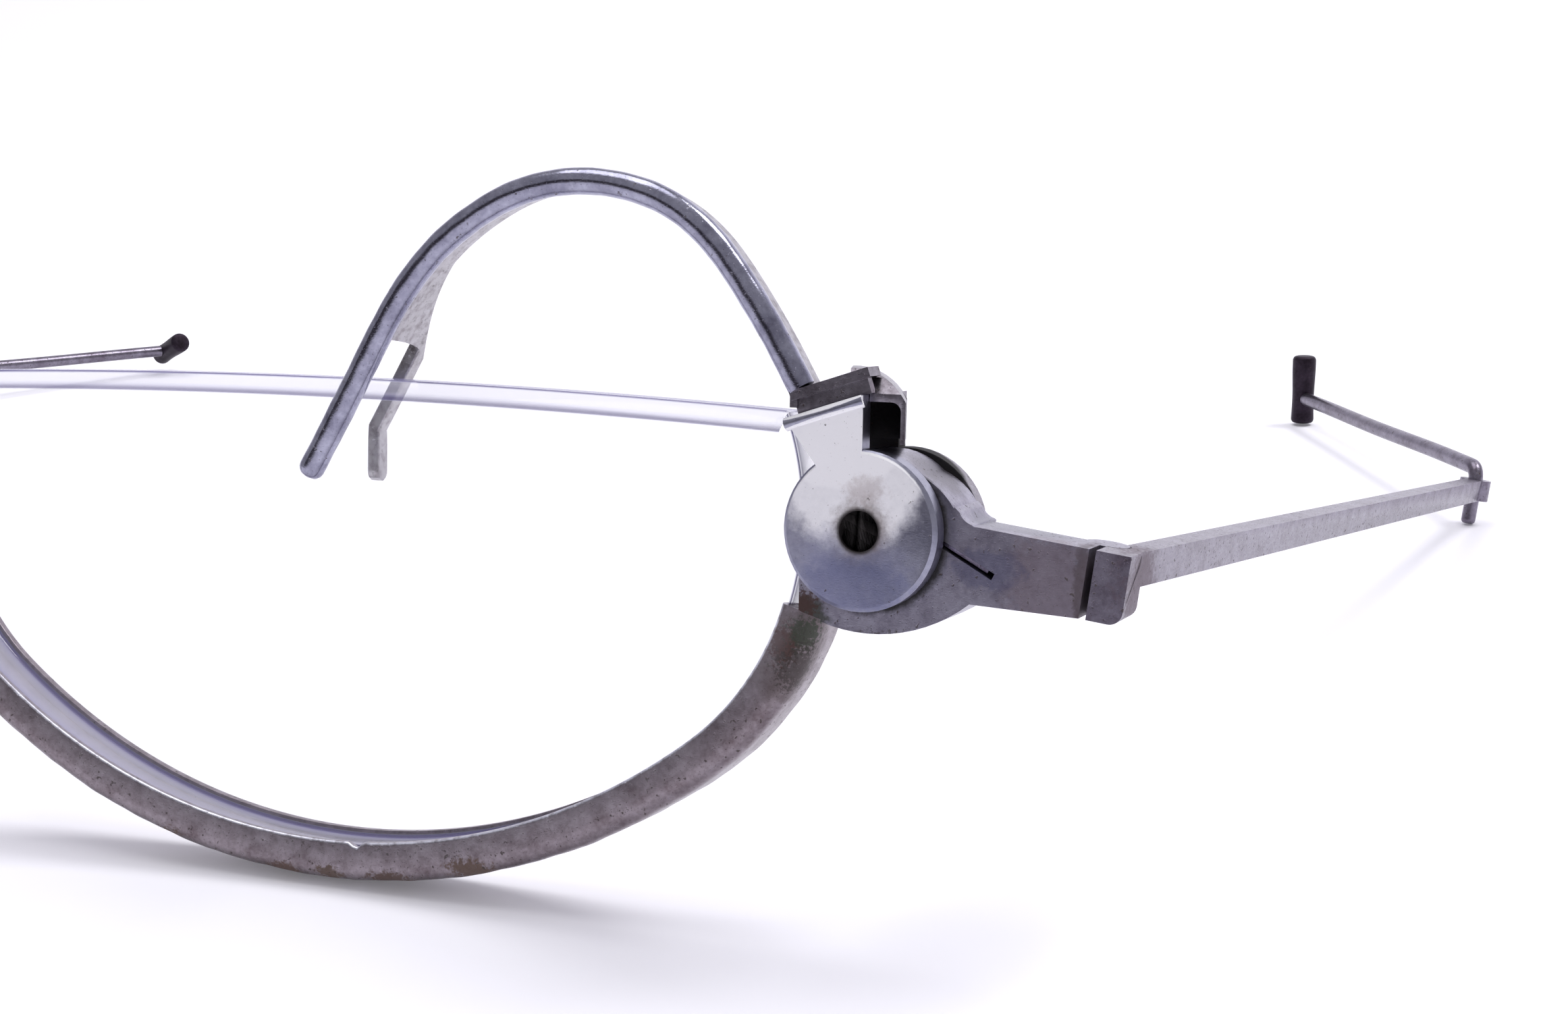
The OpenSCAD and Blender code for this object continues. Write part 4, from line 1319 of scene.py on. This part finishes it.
    screw: WornMetal = WornMetal(
        "blued_screw", (0.46, 0.42, 0.56), (0.14, 0.11, 0.17), mottle=2.0, pits=0.5,
        edge=(0.4, 0.38, 0.48),
    )
    tip: WornMetal = WornMetal(
        "dark_tip", (0.05, 0.038, 0.055), (0.018, 0.013, 0.018), pits=0.3, rough_low=0.4,
        rough_high=0.6,
    )
    glass: ClearGlass = ClearGlass()

    def made(self, side: Side) -> dict[str, bpy.types.Material]:
        """One side's materials, by the names of the finishes."""
        return {item.name: getattr(self, item.name).material(side) for item in fields(self)}


@dataclass
class Spectacles:
    """The whole pair: what is built anew, and what keeps its CAD shape with rounded edges."""

    frame: dict
    palette: Palette = field(default_factory=Palette)
    tip_turns: tuple[tuple[Side, float], ...] = ((Side.RIGHT, -9.0), (Side.LEFT, -80.0))
    # CAD nodes shown with rounded edges: node, finish, body, slot and width of the rounding.
    soft_nodes: tuple[tuple[str, str, str, str, float], ...] = (
        ("hub_endpiece", "hub", "frame", "nickel", 0.13),
        ("front_cheek", "cheek", "arch", "bright_nickel", 0.11),
        ("back_cheek", "dark", "arch", "dark_nickel", 0.1),
        ("arch_bracket", "dark", "arch", "dark_nickel", 0.09),
        ("pivot_screw", "screw", "arch", "blued_steel", 0.04),
        ("temple_bar", "bar", "temple", "nickel", 0.12),
    )
    # CAD nodes shown as they are, with their finish.
    plain_nodes: tuple[tuple[str, str], ...] = (
        ("drum_spring", "screw"), ("spring_arbor", "hub"), ("hinge_pin", "hub"),
    )

    def put(
        self, obj: bpy.types.Object, material: bpy.types.Material, body: str, node: str
    ) -> None:
        """Gives a piece what it needs.

        Args:
            obj: the piece.
            material: its material.
            body: the body that it rides on.
            node: the CAD node that it stands for.
        """
        obj.data.materials.append(material)
        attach(obj, body)
        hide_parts(node)
        log.info("%s: %d faces on %s", obj.name, len(obj.data.polygons), body)

    def dress(self, side: Side) -> None:
        """Builds and dresses one side, and with the right one the nose bridge.

        Args:
            side: the side.
        """
        w = side.word
        made = self.palette.made(side)
        lens, arch = Lens(side), Arch(side)
        tip = Tip(side, dict(self.tip_turns)[side])
        self.put(lens.build(), made["glass"], "frame", f"{w}_lens")
        self.put(HalfRim(side, lens).build(), made["rim"], "frame", f"{w}_rim")
        self.put(arch.build_wire(), made["bead"], f"{w}_arch", f"{w}_arch_wire")
        self.put(arch.build_strip(), made["band"], f"{w}_arch", f"{w}_arch_strip")
        self.put(RearArm(side).build(), made["bar"], f"{w}_arm", f"{w}_rear_arm")
        self.put(tip.build(), made["tip"], f"{w}_tip", f"{w}_tip_pad")
        for node, finish, body, slot, width in self.soft_nodes:
            source = self.frame["nodes"][f"{w}_{node}"]
            soft = softened(source, f"{w}_{node}_soft", width)
            ridden = body if body == "frame" else f"{w}_{body}"
            self.put(soft, made[finish], ridden, f"{w}_{node}")
        for node, finish in self.plain_nodes:
            shown = self.frame["nodes"][f"{w}_{node}"].data.materials
            shown.clear()
            shown.append(made[finish])
        if side is Side.RIGHT:
            bridge = softened(self.frame["nodes"]["nose_bridge"], "nose_bridge_soft", 0.05)
            self.put(bridge, made["rim"], "frame", "nose_bridge")


def main() -> None:
    """Builds the studio and the pair."""
    logging.basicConfig(level=logging.INFO, format="%(message)s")
    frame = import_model()
    studio = Studio()
    studio.camera()
    studio.paper()
    studio.card()
    studio.lights()
    pair = Spectacles(frame)
    for side in Side:
        pair.dress(side)
    bpy.context.view_layer.update()


if __name__ == "__main__":
    main()
